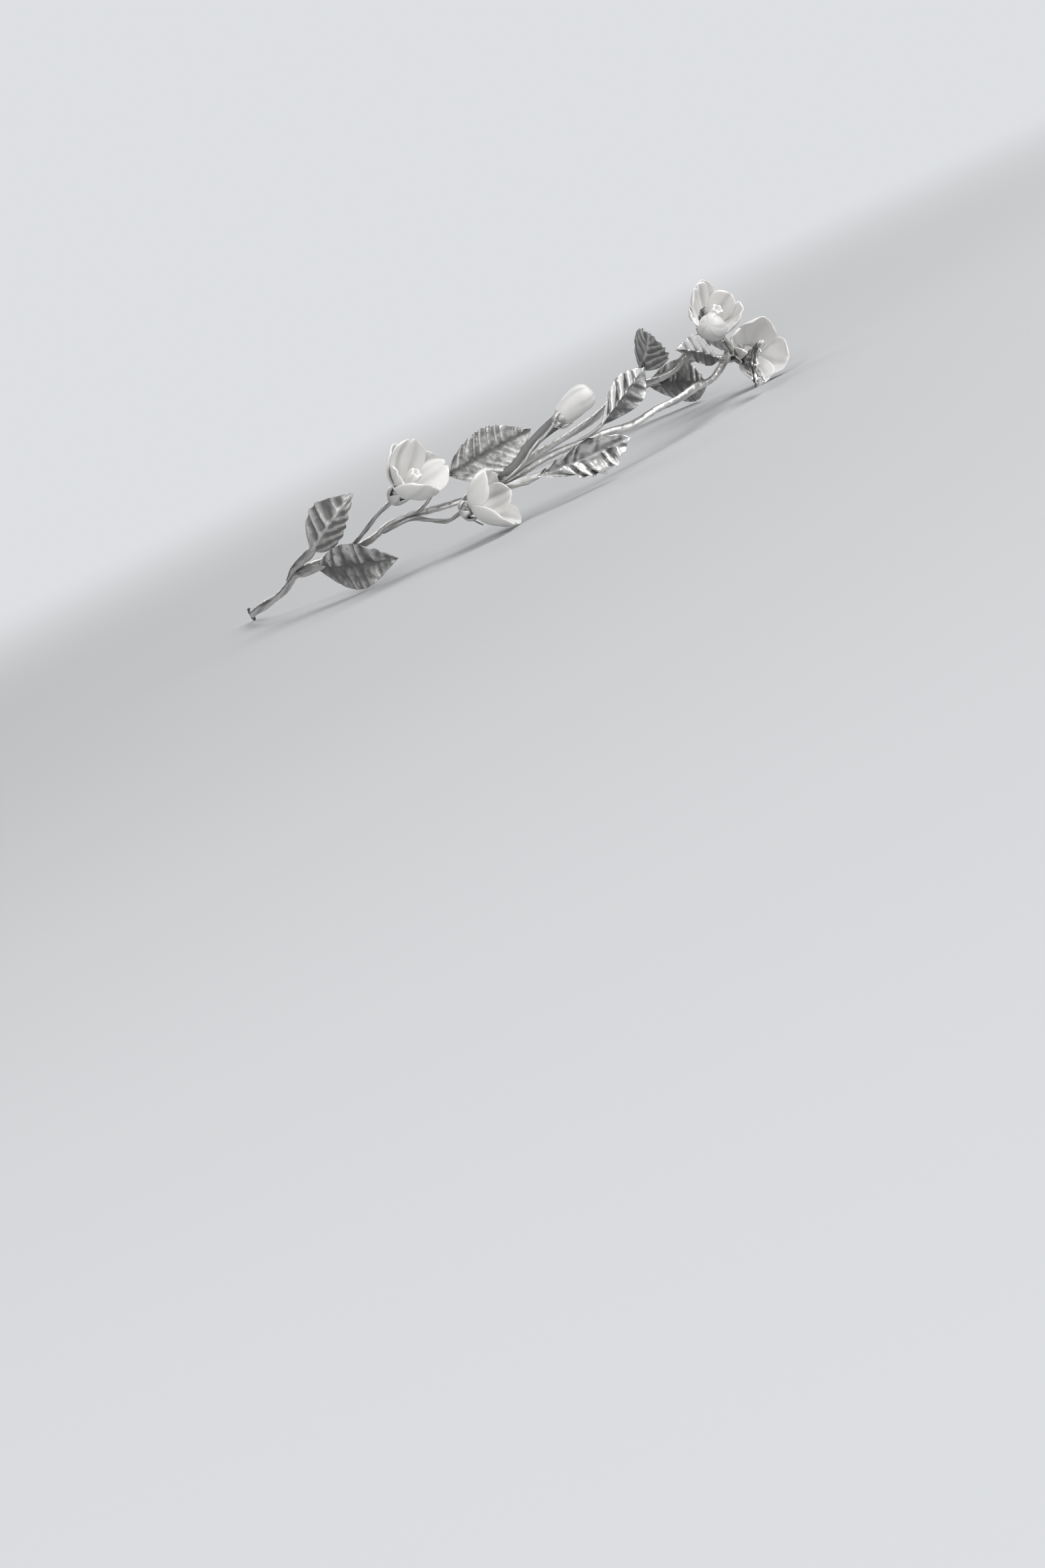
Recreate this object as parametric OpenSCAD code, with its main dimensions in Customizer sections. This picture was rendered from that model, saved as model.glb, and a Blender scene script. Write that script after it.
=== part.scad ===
// Bridal headband, built lying flat: an open oval of wrapped silver wire with two mirrored sprays of
// pressed silver leaves, white flowers and buds. Millimetres, +Z up, -Y is the front of the head and
// -X the wearer's right. The right spray is described, and the left one is its mirror image.

/* [Band] */
// Half of the oval from front to back, to the middle of the wire
oval_front = 95; // [90:0.5:100]
// Half of the oval from side to side, to the middle of the wire
oval_side = 76; // [72:0.5:80]
// How much the band's front stands higher than its ends when it lies down, in degrees
lie_tilt = 2.9; // [2:0.1:3.2]
// Height of the oval's plane above the table, at the middle of the oval
plane_up = 5.48; // [5:0.1:9]
// Sides of the wrapped wire's section
band_sides = 8; // [6:1:10]

/* [End loops] */
// Diameter of the hole that a grip or ribbon goes through
loop_bore = 2.8; // [2.4:0.1:3.2]
// Diameter of the bare wire of the loop
loop_wire = 1; // [0.9:0.05:1.2]
// Length of bare wire between the band's end and the loop
neck_len = 0.8; // [0.4:0.1:2]

/* [Leaves] */
// Thickness of the pressed leaf metal
leaf_t = 0.45; // [0.35:0.05:0.6]
// Height of the ribs pressed along the veins
rib_up = 0.34; // [0:0.02:0.5]
// How far the veins lean towards the tip, in parts of the half width
vein_lean = 0.75; // [0.3:0.05:1]
// Diameter of a leaf's stalk
stalk_d = 1.1; // [0.9:0.05:1.3]
// Diameter of the wire stem of a flower or bud
stem_d = 1.35; // [1.1:0.05:1.5]

/* [Flowers] */
// Thickness of a petal
petal_t = 0.8; // [0.6:0.05:1]
// Depth of the crease along the middle of a petal
crease = 0.35; // [0:0.05:0.5]
// How far a petal's one edge lies inside its neighbour's, in parts of its half width
petal_wrap = 0.17; // [0.14:0.01:0.22]
// Length of a closed bud
bud_len = 14.5; // [12:0.5:17]
// Widest diameter of a closed bud
bud_d = 8; // [7:0.25:9]

/* [Hidden] */

// Gap kept between pieces that are bound or glued to each other
gap = 0.2;
// Moves the middle of the whole headband over the origin, from front to back
centre_y = 17.5;

// Angle round the oval from the middle of the front, distance outside the oval, height above its
// plane, and radius of the wrapped wire
BAND_COLUMNS = ["angle", "out", "up", "radius"];
BAND = [
    [0, 0, 0.9, 1.15],
    [7, 0.3, 1.4, 1.25],
    [14, 0, 0.9, 1.15],
    [20, 0, 2.0, 1.4],
    [25, 0, 3.0, 1.3],
    [31, 0, 4.0, 1.25],
    [37, 0, 4.1, 1.25],
    [43, 0, 2.9, 1.4],
    [48, 0, 3.4, 1.1],
    [54, 0, 4.6, 1.0],
    [59, 0, 5.9, 1.0],
    [63, 0, 7.2, 1.1],
    [68, 0, 7.7, 1.1],
    [73, 0, 6.0, 1.15],
    [80, 0, 5.6, 1.15],
    [87, 0, 6.8, 1.15],
    [93, 0, 7.1, 1.2],
    [97, 0, 5.4, 1.0],
    [102, 0, 3.2, 1.25],
    [110, 0, 1.9, 1.35],
    [120, 0, 0.9, 1.35],
    [130, 0, 0.2, 1.3]];

// Blades: middle of the base, tip, width, turn of the face about the midrib, fold of each half
// towards the outside, bow of the midrib, place of the widest point, and number of veins
LEAF_COLUMNS = ["name", "base", "tip", "width", "turn", "fold", "bow", "widest", "veins"];
LEAVES = [
    ["leaf_a", [86.2, 2.2, 10.6], [73.2, -3.4, 20.6], 13.6, 8, 14, 1.2, 0.45, 7],
    ["leaf_b", [86.5, 2.6, 5.5], [68.5, 3.0, -2.2], 15.0, -4, 12, 1.6, 0.42, 8],
    ["leaf_c", [52.8, -1.0, 12.6], [34.0, 0.0, 13.5], 14.0, 4, 10, 1.4, 0.45, 9],
    ["leaf_d", [38.6, 2.4, 0.9], [19.6, 12.0, -1.4], 13.4, -24, 14, 1.5, 0.55, 8],
    ["leaf_e", [20.9, 1.3, 4.9], [5.6, 1.6, 13.8], 10.4, 6, 14, 0.9, 0.5, 7]];
// Stalks and stems: first the points bound to the band, as an angle round the oval and a direction
// round the wire, 0 outside and 90 on top, then free points as angle, out and up
STALK_COLUMNS = ["name", "bound", "free"];
STALKS = [
    ["leaf_a", [[97.5, 35], [94, 40]], [[90, 2.1, 9.3]]],
    ["leaf_b", [[97.5, -20], [94, -25]], [[90, 2.5, 5.6]]],
    ["leaf_c", [[64, 12], [61.2, 20]], [[58.2, 2.0, 8.6], [55.6, 0.8, 11.2]]],
    ["leaf_d", [[47.5, -25], [44, -30]], [[41, 2.3, 1.5]]],
    ["leaf_e", [[26.5, 50], [23.6, 52]], []],
    ["flower_1", [[83, 20], [78, 30]], [[72.1, 3.3, 9.1], [67.4, 4.7, 11.9]]],
    ["flower_2", [[70, -50], [66, -45], [62.5, -40]], [[58.9, 3.4, 3.2], [55.9, 5.4, 1.1]]],
    ["bud", [[47.5, 35], [43.5, 35]], [[39.5, 2.2, 5.1], [36, 2.0, 8.0]]]];

// Flowers and bud: middle of the base, heading of the axis round the head, its rise, and the roll
// of the petals about it, in degrees
BLOOM_COLUMNS = ["name", "base", "heading", "rise", "roll"];
BLOOMS = [
    ["flower_1", [61.2, 6.2, 14.8], -10, 17, 34],
    ["flower_2", [50.7, 8.0, 1.7], -25, 2, 64],
    ["bud", [29.5, 2.4, 11.6], -54, 17, 0]];
// Petals: direction round the axis, length, width, and lean from the axis at the foot and the tip
PETAL_COLUMNS = ["turn", "length", "width", "foot_lean", "tip_lean"];
PETALS = [
    ["flower_1", [
        [0, 14.0, 12.0, 64, 18],
        [72, 13.2, 12.0, 64, 14],
        [144, 14.2, 12.0, 64, 20],
        [216, 15.2, 12.6, 60, 18],
        [288, 15.0, 12.6, 62, 18]]],
    ["flower_2", [
        [0, 12.6, 12.2, 64, 4],
        [72, 13.4, 11.6, 61, 19],
        [144, 14.2, 12.2, 60, 33],
        [216, 13.6, 11.4, 44, 10],
        [288, 11.8, 11.4, 60, 14]]]];
// Where a petal leaves a flower's axis: distance from it, and height
PETAL_START = [1.1, 0.6];
// The lobed tube in the middle of a flower: height and radius, from the foot over the rim and inside
TUBE = [[0, 1.6], [1.6, 2.2], [7.4, 2.5], [7.8, 2.0], [6.0, 0.8]];
// A closed bud's height and radius, in parts of its length and half width
BUD = [[0, 0.36], [0.08, 0.5], [0.22, 0.74], [0.4, 0.95], [0.56, 1], [0.72, 0.93], [0.86, 0.72],
    [0.95, 0.46], [1, 0.18]];

// The calyx cup below a flower or bud: height along its axis, and radius
CALYX = [[-4, 0.75], [-2.6, 1.0], [-1.3, 1.9], [-gap, 2.2]];
// Its pointed sepals: number, length, and lean from the axis at the tip
SEPAL_COLUMNS = ["name", "count", "length", "tip_lean"];
SEPALS = [
    ["flower_1", 5, 4.6, 54],
    ["flower_2", 5, 4, 54],
    ["bud", 3, 6, 24]];
// Width of a sepal, its lean from the axis at the foot, and where it leaves the axis
sepal_width = 2.6;
sepal_foot_lean = 70;
SEPAL_START = [2.0, -0.5];

function value(columns, row, name) = row[search([name], columns)[0]];
function row_of(table, name) = table[search([name], table)[0]];
function unit(v) = v / norm(v);

// A point beside the oval, from its angle, distance outside and height
function beside(p) = [-(oval_side + p[1]) * sin(p[0]), -(oval_front + p[1]) * cos(p[0]), p[2]];
// The level direction that points away from the head at a point
function away(p) = unit([p.x / oval_side ^ 2, p.y / oval_front ^ 2, 0]);
// A direction from a heading round the head, 0 to the front, and a rise above level
function pointing(heading, rise) =
    [-sin(heading) * cos(rise), -cos(heading) * cos(rise), sin(rise)];
// The part of v square to the unit vector n, made a unit vector
function square_to(v, n) = unit(v - (v * n) * n);

// A smooth curve through rows of numbers, with the given steps between two rows
function between(a, b, c, d, t) =
    0.5 * (2 * b + (c - a) * t + (2 * a - 5 * b + 4 * c - d) * t ^ 2 + (3 * b - a - 3 * c + d) * t ^ 3);
function smooth(rows, steps) =
    let (last = len(rows) - 1)
    [for (i = [0 : last - 1]) for (s = [0 : steps - 1])
        between(rows[max(i - 1, 0)], rows[i], rows[i + 1], rows[min(i + 2, last)], s / steps),
     rows[last]];

// Turns rows of angle, out, up and radius into points with a radius
function laid(rows) = [for (r = rows) [each beside(r), r[3]]];

// The whole band: its right half, and the mirror image of that on the left
LEFT_HALF = [for (i = [len(BAND) - 1 : -1 : 1]) [-BAND[i][0], BAND[i][1], BAND[i][2], BAND[i][3]]];
BAND_PATH = smooth(concat(LEFT_HALF, BAND), 2);
function band_value(angle, column) =
    lookup(angle, [for (r = BAND_PATH) [r[0], r[search([column], BAND_COLUMNS)[0]]]]);
// A point of a wire of radius r that is bound to the band, in a direction round the band
function bound_to_band(p, r) =
    let (reach = band_value(p[0], "radius") + r + gap)
    beside([p[0], band_value(p[0], "out") + reach * cos(p[1]), band_value(p[0], "up") + reach * sin(p[1])]);
// The path of a stalk or stem, as points
function stalk_points(name, r) =
    let (row = row_of(STALKS, name))
    [for (p = value(STALK_COLUMNS, row, "bound")) bound_to_band(p, r),
     for (p = value(STALK_COLUMNS, row, "free")) beside(p)];

// A closed skin over rings of points, each of the same number of points
module skin(rings) {
    last = len(rings) - 1;
    sides = len(rings[0]);
    walls = [for (i = [0 : last - 1]) for (k = [0 : sides - 1])
        let (a = i * sides + k, b = i * sides + (k + 1) % sides)
        each [[a, a + sides, b + sides], [a, b + sides, b]]];
    ends = [[for (k = [0 : sides - 1]) k], [for (k = [sides - 1 : -1 : 0]) last * sides + k]];
    polyhedron([for (r = rings) each r], concat(walls, ends));
}

// A round rod along points with a radius
module rod(path, sides) {
    last = len(path) - 1;
    function spot(i) = [path[i][0], path[i][1], path[i][2]];
    skin([for (i = [0 : last])
        let (ahead = unit(spot(min(i + 1, last)) - spot(max(i - 1, 0))),
             out = square_to(away(spot(i)), ahead), top = cross(ahead, out))
        [for (k = [0 : sides - 1])
            spot(i) + path[i][3] * (cos(360 * k / sides) * out + sin(360 * k / sides) * top)]]);
}

// A closed sheet between two grids of points of the same size
module sheet(front, back) {
    rows = len(front);
    cols = len(front[0]);
    n = rows * cols;
    points = [for (r = front) each r, for (r = back) each r];
    faces = [for (i = [0 : rows - 2]) for (j = [0 : cols - 2])
        let (a = i * cols + j, b = a + 1, c = b + cols, d = a + cols)
        each [[a, b, c], [a, c, d], [n + a, n + c, n + b], [n + a, n + d, n + c]]];
    sides = [for (i = [0 : rows - 2])
        let (a = i * cols, d = a + cols, b = a + cols - 1, c = d + cols - 1)
        each [[a, d, n + d], [a, n + d, n + a], [b, n + c, c], [b, n + b, n + c]]];
    ends = [for (j = [0 : cols - 2])
        let (a = j, b = j + 1, d = (rows - 1) * cols + j, c = d + 1)
        each [[a, n + b, b], [a, n + a, n + b], [d, c, n + c], [d, n + c, n + d]]];
    polyhedron(points, concat(faces, sides, ends));
}

// Half width of a blade or sepal along its length, pointed at the tip
function blade_half(u, width, widest) =
    max(0.14, width / 2 * max(0, sin(180 * u ^ (ln(0.5) / ln(widest)))) ^ 0.9);
BLADE_ACROSS = [-1, -0.5, 0, 0.5, 1];

// One blade: the rows of its grid are the veins, every second one raised
module blade(row) {
    base = beside(value(LEAF_COLUMNS, row, "base"));
    tip = beside(value(LEAF_COLUMNS, row, "tip"));
    fold = value(LEAF_COLUMNS, row, "fold");
    turn = value(LEAF_COLUMNS, row, "turn");
    steps = 2 * value(LEAF_COLUMNS, row, "veins");
    along = unit(tip - base);
    level_face = square_to(away((base + tip) / 2), along);
    upward = cross(level_face, along);
    face = cos(turn) * level_face + sin(turn) * upward;
    across = cross(face, along);
    function blade_point(i, v) =
        let (u = i / steps,
             rib = (i % 2 == 0 ? -1 : 1) * sin(180 * u) ^ 0.5,
             half = blade_half(u, value(LEAF_COLUMNS, row, "width"), value(LEAF_COLUMNS, row, "widest")),
             side = abs(v) * half * (1 + 0.05 * rib),
             rise = value(LEAF_COLUMNS, row, "bow") * sin(180 * u) + side * sin(fold)
                 + rib_up * rib * (0.3 + 0.7 * abs(v)))
        base + along * (u * norm(tip - base) + vein_lean * side * (1 - u))
            + across * sign(v) * side * cos(fold) + face * rise;
    grid = [for (i = [0 : steps]) [for (v = BLADE_ACROSS) blade_point(i, v)]];
    sheet([for (r = grid) [for (p = r) p + face * leaf_t / 2]],
          [for (r = grid) [for (p = r) p - face * leaf_t / 2]]);
}

// A pressed leaf with its stalk
module leaf(name) {
    row = row_of(LEAVES, name);
    base = beside(value(LEAF_COLUMNS, row, "base"));
    tip = beside(value(LEAF_COLUMNS, row, "tip"));
    back = away(base) * (stalk_d / 2 - leaf_t / 2);
    points = stalk_points(name, stalk_d / 2);
    root = [for (t = [0.02, 0.12, 0.24]) base + t * (tip - base) - back];
    radii = [for (p = points) stalk_d / 2, stalk_d / 2, stalk_d / 2 * 0.8, stalk_d / 2 * 0.5];
    path = [for (i = [0 : len(radii) - 1]) [each concat(points, root)[i], radii[i]]];
    color([0.74, 0.75, 0.77]) union() {
        blade(row);
        rod(smooth(path, 2), 7);
    }
}

// A bloom's own directions: its base, then upward turned by the roll, the side, and the axis
function frame_of(name) =
    let (row = row_of(BLOOMS, name), roll = value(BLOOM_COLUMNS, row, "roll"),
         axis = pointing(value(BLOOM_COLUMNS, row, "heading"), value(BLOOM_COLUMNS, row, "rise")),
         top = square_to([0, 0, 1], axis), side = cross(axis, top))
    [beside(value(BLOOM_COLUMNS, row, "base")),
     cos(roll) * top + sin(roll) * side, cos(roll) * side - sin(roll) * top, axis];
function placed(f, p) = f[0] + p.x * f[1] + p.y * f[2] + p.z * f[3];
// A point round a bloom's axis
function round_axis(f, angle, radius, height) =
    placed(f, [radius * cos(angle), radius * sin(angle), height]);

// Half width of a rounded petal along its length
function petal_half(u, width) = width / 2 * (u < 0.6
    ? 0.3 + 0.7 * sin(150 * u)
    : sqrt(1 - ((u - 0.6) / 0.43) ^ 2));
PETAL_ALONG = [0, 0.3, 0.6, 0.86, 1];
PETAL_ACROSS = [-1, -0.5, 0, 0.5, 1];
SEPAL_ALONG = [0, 0.3, 0.6, 1];
SEPAL_ACROSS = [-1, 0, 1];

// A point of a petal or sepal that leaves the axis on an arc, in the flower's own directions
function arc_point(turn, start, length, foot, lean, u, sideways, inward) =
    let (now = foot + (lean - foot) * u,
         bend = length / ((lean - foot) * PI / 180),
         rho = start[0] + bend * (cos(foot) - cos(now)) - inward * cos(now),
         z = start[1] + bend * (sin(now) - sin(foot)) + inward * sin(now))
    [rho * cos(turn) - sideways * sin(turn), rho * sin(turn) + sideways * cos(turn), z];

module petal(f, row) {
    width = value(PETAL_COLUMNS, row, "width");
    function grid(shift) = [for (u = PETAL_ALONG) [for (v = PETAL_ACROSS)
        let (half = petal_half(u, width))
        placed(f, arc_point(value(PETAL_COLUMNS, row, "turn"), PETAL_START,
            value(PETAL_COLUMNS, row, "length"), value(PETAL_COLUMNS, row, "foot_lean"),
            value(PETAL_COLUMNS, row, "tip_lean"), u, v * half,
            shift + half * (0.3 * v ^ 2 + petal_wrap * v) * u
                - (v == 0 ? crease * sin(180 * u ^ 0.7) : 0)))]];
    sheet(grid(petal_t / 2), grid(-petal_t / 2));
}

module sepal(f, turn, length, tip_lean) {
    function grid(shift) = [for (u = SEPAL_ALONG) [for (v = SEPAL_ACROSS)
        let (half = max(0.15, sepal_width / 2 * (u < 0.3 ? 0.7 + u : 1.43 * (1 - u))))
        placed(f, arc_point(turn, SEPAL_START, length, sepal_foot_lean, tip_lean, u, v * half,
            shift + 0.3 * half * v ^ 2))]];
    sheet(grid(leaf_t / 2), grid(-leaf_t / 2));
}

// An open flower: five petals round a small tube with five lobes
module flower(name) {
    f = frame_of(name);
    sides = 10;
    lobe_depth = 0.14;
    color([0.95, 0.94, 0.93]) union() {
        for (row = row_of(PETALS, name)[1])
            petal(f, row);
        skin([for (r = TUBE) [for (k = [0 : sides - 1])
            round_axis(f, 360 * k / sides, r[1] * (1 + lobe_depth * cos(5 * 360 * k / sides)), r[0])]]);
    }
}

// A wire stem that ends in a calyx with pointed sepals
module stem(name) {
    f = frame_of(name);
    row = row_of(SEPALS, name);
    count = value(SEPAL_COLUMNS, row, "count");
    wire = [for (p = stalk_points(name, stem_d / 2)) [each p, stem_d / 2]];
    cup = [for (r = CALYX) [each f[0] + r[0] * f[3], r[1]]];
    color([0.7, 0.71, 0.73]) union() {
        rod(concat(smooth(concat(wire, [cup[0]]), 2), [cup[1], cup[2], cup[3]]), 8);
        for (k = [0.5 : count])
            sepal(f, 360 * k / count, value(SEPAL_COLUMNS, row, "length"),
                value(SEPAL_COLUMNS, row, "tip_lean"));
    }
}

// A closed bud: three petals wrapped over each other with a twist, each with a step at its edge
module bud() {
    f = frame_of("bud");
    sides = 18;
    twist = 70;
    step = 0.12;
    color([0.93, 0.93, 0.93]) skin([for (r = BUD) [for (k = [0 : sides - 1])
        round_axis(f, 360 * k / sides + twist * r[0],
            bud_d / 2 * r[1] * (1 + step * ((k % 6) / 6 - 0.5)), bud_len * r[0])]]);
}

// The wrapped wire, from one end to the other
module band() color([0.78, 0.79, 0.8]) rod(laid(BAND_PATH), band_sides);

// A loop of bare wire at the band's end, flat against the head, on a short neck that meets the end
module end_loop() {
    last = len(BAND) - 1;
    tip = beside(BAND[last]);
    ahead = unit(tip - beside(BAND[last - 1]));
    wire_r = loop_wire / 2;
    // The hole's wall is a short true cylinder, cut this deep into the round wire
    land = 0.1;
    middle = loop_bore / 2 + wire_r - land;
    color([0.45, 0.45, 0.47])
        translate(tip + gap * ahead) rotate([0, -asin(ahead.z), atan2(ahead.y, ahead.x)]) difference() {
            union() {
                rotate([0, 90, 0]) cylinder(h = neck_len + wire_r, r = 0.9 * wire_r, $fn = 24);
                translate([neck_len + middle + wire_r, 0, 0]) rotate([90, 0, 0])
                    rotate_extrude($fn = 32) translate([middle, 0]) circle(r = wire_r, $fn = 16);
            }
            translate([neck_len + middle + wire_r, 0, 0]) rotate([90, 0, 0])
                cylinder(h = 2 * loop_wire, d = loop_bore, center = true, $fn = 48);
        }
}

// Lays the band's own plane on the table and brings its middle over the origin
module on_right() translate([0, centre_y, plane_up]) rotate([-lie_tilt, 0, 0]) children();
module on_left() on_right() mirror([1, 0, 0]) children();

on_right() band();
on_right() end_loop();  // right_end_loop
on_right() leaf("leaf_a");  // right_leaf_a
on_right() leaf("leaf_b");  // right_leaf_b
on_right() leaf("leaf_c");  // right_leaf_c
on_right() leaf("leaf_d");  // right_leaf_d
on_right() leaf("leaf_e");  // right_leaf_e
on_right() flower("flower_1");  // right_flower_1
on_right() stem("flower_1");  // right_flower_1_stem
on_right() flower("flower_2");  // right_flower_2
on_right() stem("flower_2");  // right_flower_2_stem
on_right() bud();  // right_bud
on_right() stem("bud");  // right_bud_stem
on_left() end_loop();  // left_end_loop
on_left() leaf("leaf_a");  // left_leaf_a
on_left() leaf("leaf_b");  // left_leaf_b
on_left() leaf("leaf_c");  // left_leaf_c
on_left() leaf("leaf_d");  // left_leaf_d
on_left() leaf("leaf_e");  // left_leaf_e
on_left() flower("flower_1");  // left_flower_1
on_left() stem("flower_1");  // left_flower_1_stem
on_left() flower("flower_2");  // left_flower_2
on_left() stem("flower_2");  // left_flower_2_stem
on_left() bud();  // left_bud
on_left() stem("bud");  // left_bud_stem
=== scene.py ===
"""Looks of a bridal headband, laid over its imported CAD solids.

Sizes are millimetres in the band's own level plane, with -Y to the front of the head and -X to the
wearer's right, as in the part's source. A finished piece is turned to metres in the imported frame.
"""

import logging
import math
from dataclasses import dataclass, field
from enum import Enum
from typing import ClassVar

import bpy
import numpy as np
from mathutils import Matrix


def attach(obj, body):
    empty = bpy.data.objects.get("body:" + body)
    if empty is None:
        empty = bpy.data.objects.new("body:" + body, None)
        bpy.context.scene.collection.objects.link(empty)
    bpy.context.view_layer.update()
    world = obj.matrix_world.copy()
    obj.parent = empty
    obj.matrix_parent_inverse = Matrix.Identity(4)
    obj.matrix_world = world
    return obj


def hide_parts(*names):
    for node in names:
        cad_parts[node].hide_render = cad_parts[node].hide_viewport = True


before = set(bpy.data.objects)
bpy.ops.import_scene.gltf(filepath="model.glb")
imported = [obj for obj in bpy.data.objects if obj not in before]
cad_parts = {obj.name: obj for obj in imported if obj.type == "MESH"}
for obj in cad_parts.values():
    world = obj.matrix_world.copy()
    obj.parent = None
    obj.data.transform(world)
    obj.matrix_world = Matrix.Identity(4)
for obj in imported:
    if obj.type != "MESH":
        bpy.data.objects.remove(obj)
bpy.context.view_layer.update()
log = logging.getLogger("headband")
Array = np.ndarray
Socket = bpy.types.NodeSocket
Piece = bpy.types.Object
MM = 0.001


class Hand(Enum):
    """The side of the head that a spray is on, as the sign that its x is multiplied by."""

    RIGHT = 1
    LEFT = -1

    @property
    def word(self) -> str:
        """The side's name as the CAD nodes spell it."""
        return self.name.lower()


# Small helpers


def linear(hex_code: str) -> tuple[float, float, float, float]:
    """Turns an sRGB hex value into linear colour.

    Args:
        hex_code: Six hex digits after a #.

    Returns:
        Linear red, green and blue, and an alpha of 1.
    """
    parts = [int(hex_code[i:i + 2], 16) / 255 for i in (1, 3, 5)]
    return (*[c / 12.92 if c <= 0.04045 else ((c + 0.055) / 1.055) ** 2.4 for c in parts], 1.0)


def unit(v: Array) -> Array:
    """Vectors made one long."""
    return v / np.linalg.norm(v, axis=-1, keepdims=True)


def square_to(v: Array, n: Array) -> Array:
    """The part of v square to the unit vector n, made one long."""
    return unit(v - np.sum(v * n, axis=-1, keepdims=True) * n)


def bell(x: Array, middle: float, width: float) -> Array:
    """A bump that is 1 high at its middle and about a third as high a width away from it."""
    return np.exp(-((x - middle) / width) ** 2)


def eased(count: int) -> Array:
    """A row from -1 to 1 whose steps close up towards both ends."""
    return np.sin(np.linspace(-np.pi / 2, np.pi / 2, count))[None, :]


def circle(count: int) -> Array:
    """A row of angles once round in even steps."""
    return np.linspace(0, 2 * np.pi, count, endpoint=False)[None, :]


def smooth(rows: Array, steps: int) -> Array:
    """A smooth curve through rows of numbers.

    Args:
        rows: Points, one to a row.
        steps: Steps between two rows.

    Returns:
        The rows of the curve.
    """
    rows = np.asarray(rows, float)
    last = len(rows) - 1
    made = []
    for i in range(last):
        a, b, c, d = (rows[max(i - 1, 0)], rows[i], rows[i + 1], rows[min(i + 2, last)])
        for t in np.arange(steps) / steps:
            made.append(0.5 * (2 * b + (c - a) * t + (2 * a - 5 * b + 4 * c - d) * t ** 2
                               + (3 * b - a - 3 * c + d) * t ** 3))
    return np.array(made + [rows[last]])


def pointing(heading: float, rise: float) -> Array:
    """A direction from a heading round the head, 0 to the front, and a rise, in degrees."""
    h, r = math.radians(heading), math.radians(rise)
    return np.array([-math.sin(h) * math.cos(r), -math.cos(h) * math.cos(r), math.sin(r)])


def new_object(name: str, data: bpy.types.ID) -> Piece:
    """Adds an object to the scene.

    Args:
        name: Its name.
        data: Its mesh, light or camera.

    Returns:
        The object.
    """
    made = bpy.data.objects.new(name, data)
    bpy.context.scene.collection.objects.link(made)
    return made


@dataclass(frozen=True)
class Oval:
    """The oval that the band follows, and how the headband lies on the table.

    Args:
        front: Half of the oval from front to back.
        side: Half of the oval from side to side.
        tilt: How much higher the front lies than the ends, in degrees.
        plane_up: Height of the oval's plane above the table.
        centre_y: Shift that brings the whole headband's middle over the origin.
    """

    front: float = 95.0
    side: float = 76.0
    tilt: float = 2.9
    plane_up: float = 5.48
    centre_y: float = 17.5

    def beside(self, places: Array) -> Array:
        """Points beside the oval.

        Args:
            places: Rows of angle round the oval, distance outside it and height.

        Returns:
            The points.
        """
        turn, out, up = np.moveaxis(np.asarray(places, float)[..., :3], -1, 0)
        turn = np.radians(turn)
        return np.stack([-(self.side + out) * np.sin(turn), -(self.front + out) * np.cos(turn), up], -1)

    def away(self, p: Array) -> Array:
        """The level direction that points away from the head at a point."""
        return unit(p * np.array([1 / self.side ** 2, 1 / self.front ** 2, 0]))

    def turned(self, v: Array, hand: Hand) -> Array:
        """Directions mirrored for the hand and tilted as the headband lies.

        Args:
            v: The directions.
            hand: The side that they are on.

        Returns:
            The turned directions.
        """
        t = math.radians(-self.tilt)
        x, y, z = v[..., 0] * hand.value, v[..., 1], v[..., 2]
        return np.stack([x, y * math.cos(t) - z * math.sin(t), y * math.sin(t) + z * math.cos(t)], -1)

    def settled(self, p: Array, hand: Hand) -> list[list[float]]:
        """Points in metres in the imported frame."""
        return ((self.turned(p, hand) + np.array([0, self.centre_y, self.plane_up])) * MM).tolist()


OVAL = Oval()


class Tree:
    """A node tree in the making."""

    def __init__(self, tree: bpy.types.NodeTree) -> None:
        """Takes the tree over."""
        self.tree = tree

    def feed(self, node: bpy.types.Node, inputs: dict | tuple) -> None:
        """Gives a node its inputs.

        Args:
            node: The node.
            inputs: Values or output sockets, by input name or number, or in the inputs' order.
        """
        for key, given in inputs.items() if isinstance(inputs, dict) else enumerate(inputs):
            if isinstance(given, Socket):
                self.tree.links.new(given, node.inputs[key])
            else:
                node.inputs[key].default_value = given

    def add(self, kind: str, inputs: dict | tuple = (), out: str | int = 0, **settings) -> Socket | None:
        """Adds a node with its settings and links.

        Args:
            kind: Blender's name of the node type.
            inputs: Values or output sockets, by input name or number, or in the inputs' order.
            out: Name or number of the output that is wanted.
            **settings: The node's own properties.

        Returns:
            That output, or None where the node has no output.
        """
        node = self.tree.nodes.new(kind)
        for name, setting in settings.items():
            setattr(node, name, setting)
        self.feed(node, inputs)
        return node.outputs[out] if node.outputs else None

    def chain(self, formula: str, *values, kind: str = "ShaderNodeMath") -> Socket:
        """Chains nodes of a kind that has operations, each one working on the result so far.

        Args:
            formula: Operation names parted by spaces, such as "MULTIPLY ADD".
            *values: The first value, then one more for each operation that takes two.
            kind: Blender's name of the node type, by default the one that works on numbers.

        Returns:
            The output socket of the last node.
        """
        so_far, *rest = values
        for operation in formula.split():
            inputs = (so_far,) if operation in ONE_SIDED else (so_far, rest.pop(0))
            so_far = self.add(kind, inputs, operation=operation)
        return so_far


VECTORS = "ShaderNodeVectorMath"
ONE_SIDED = {"ABSOLUTE", "COSINE", "SINE", "FRACT", "FLOOR", "SQRT", "SIGN", "EXPONENT", "NORMALIZE"}


# Finishes


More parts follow.
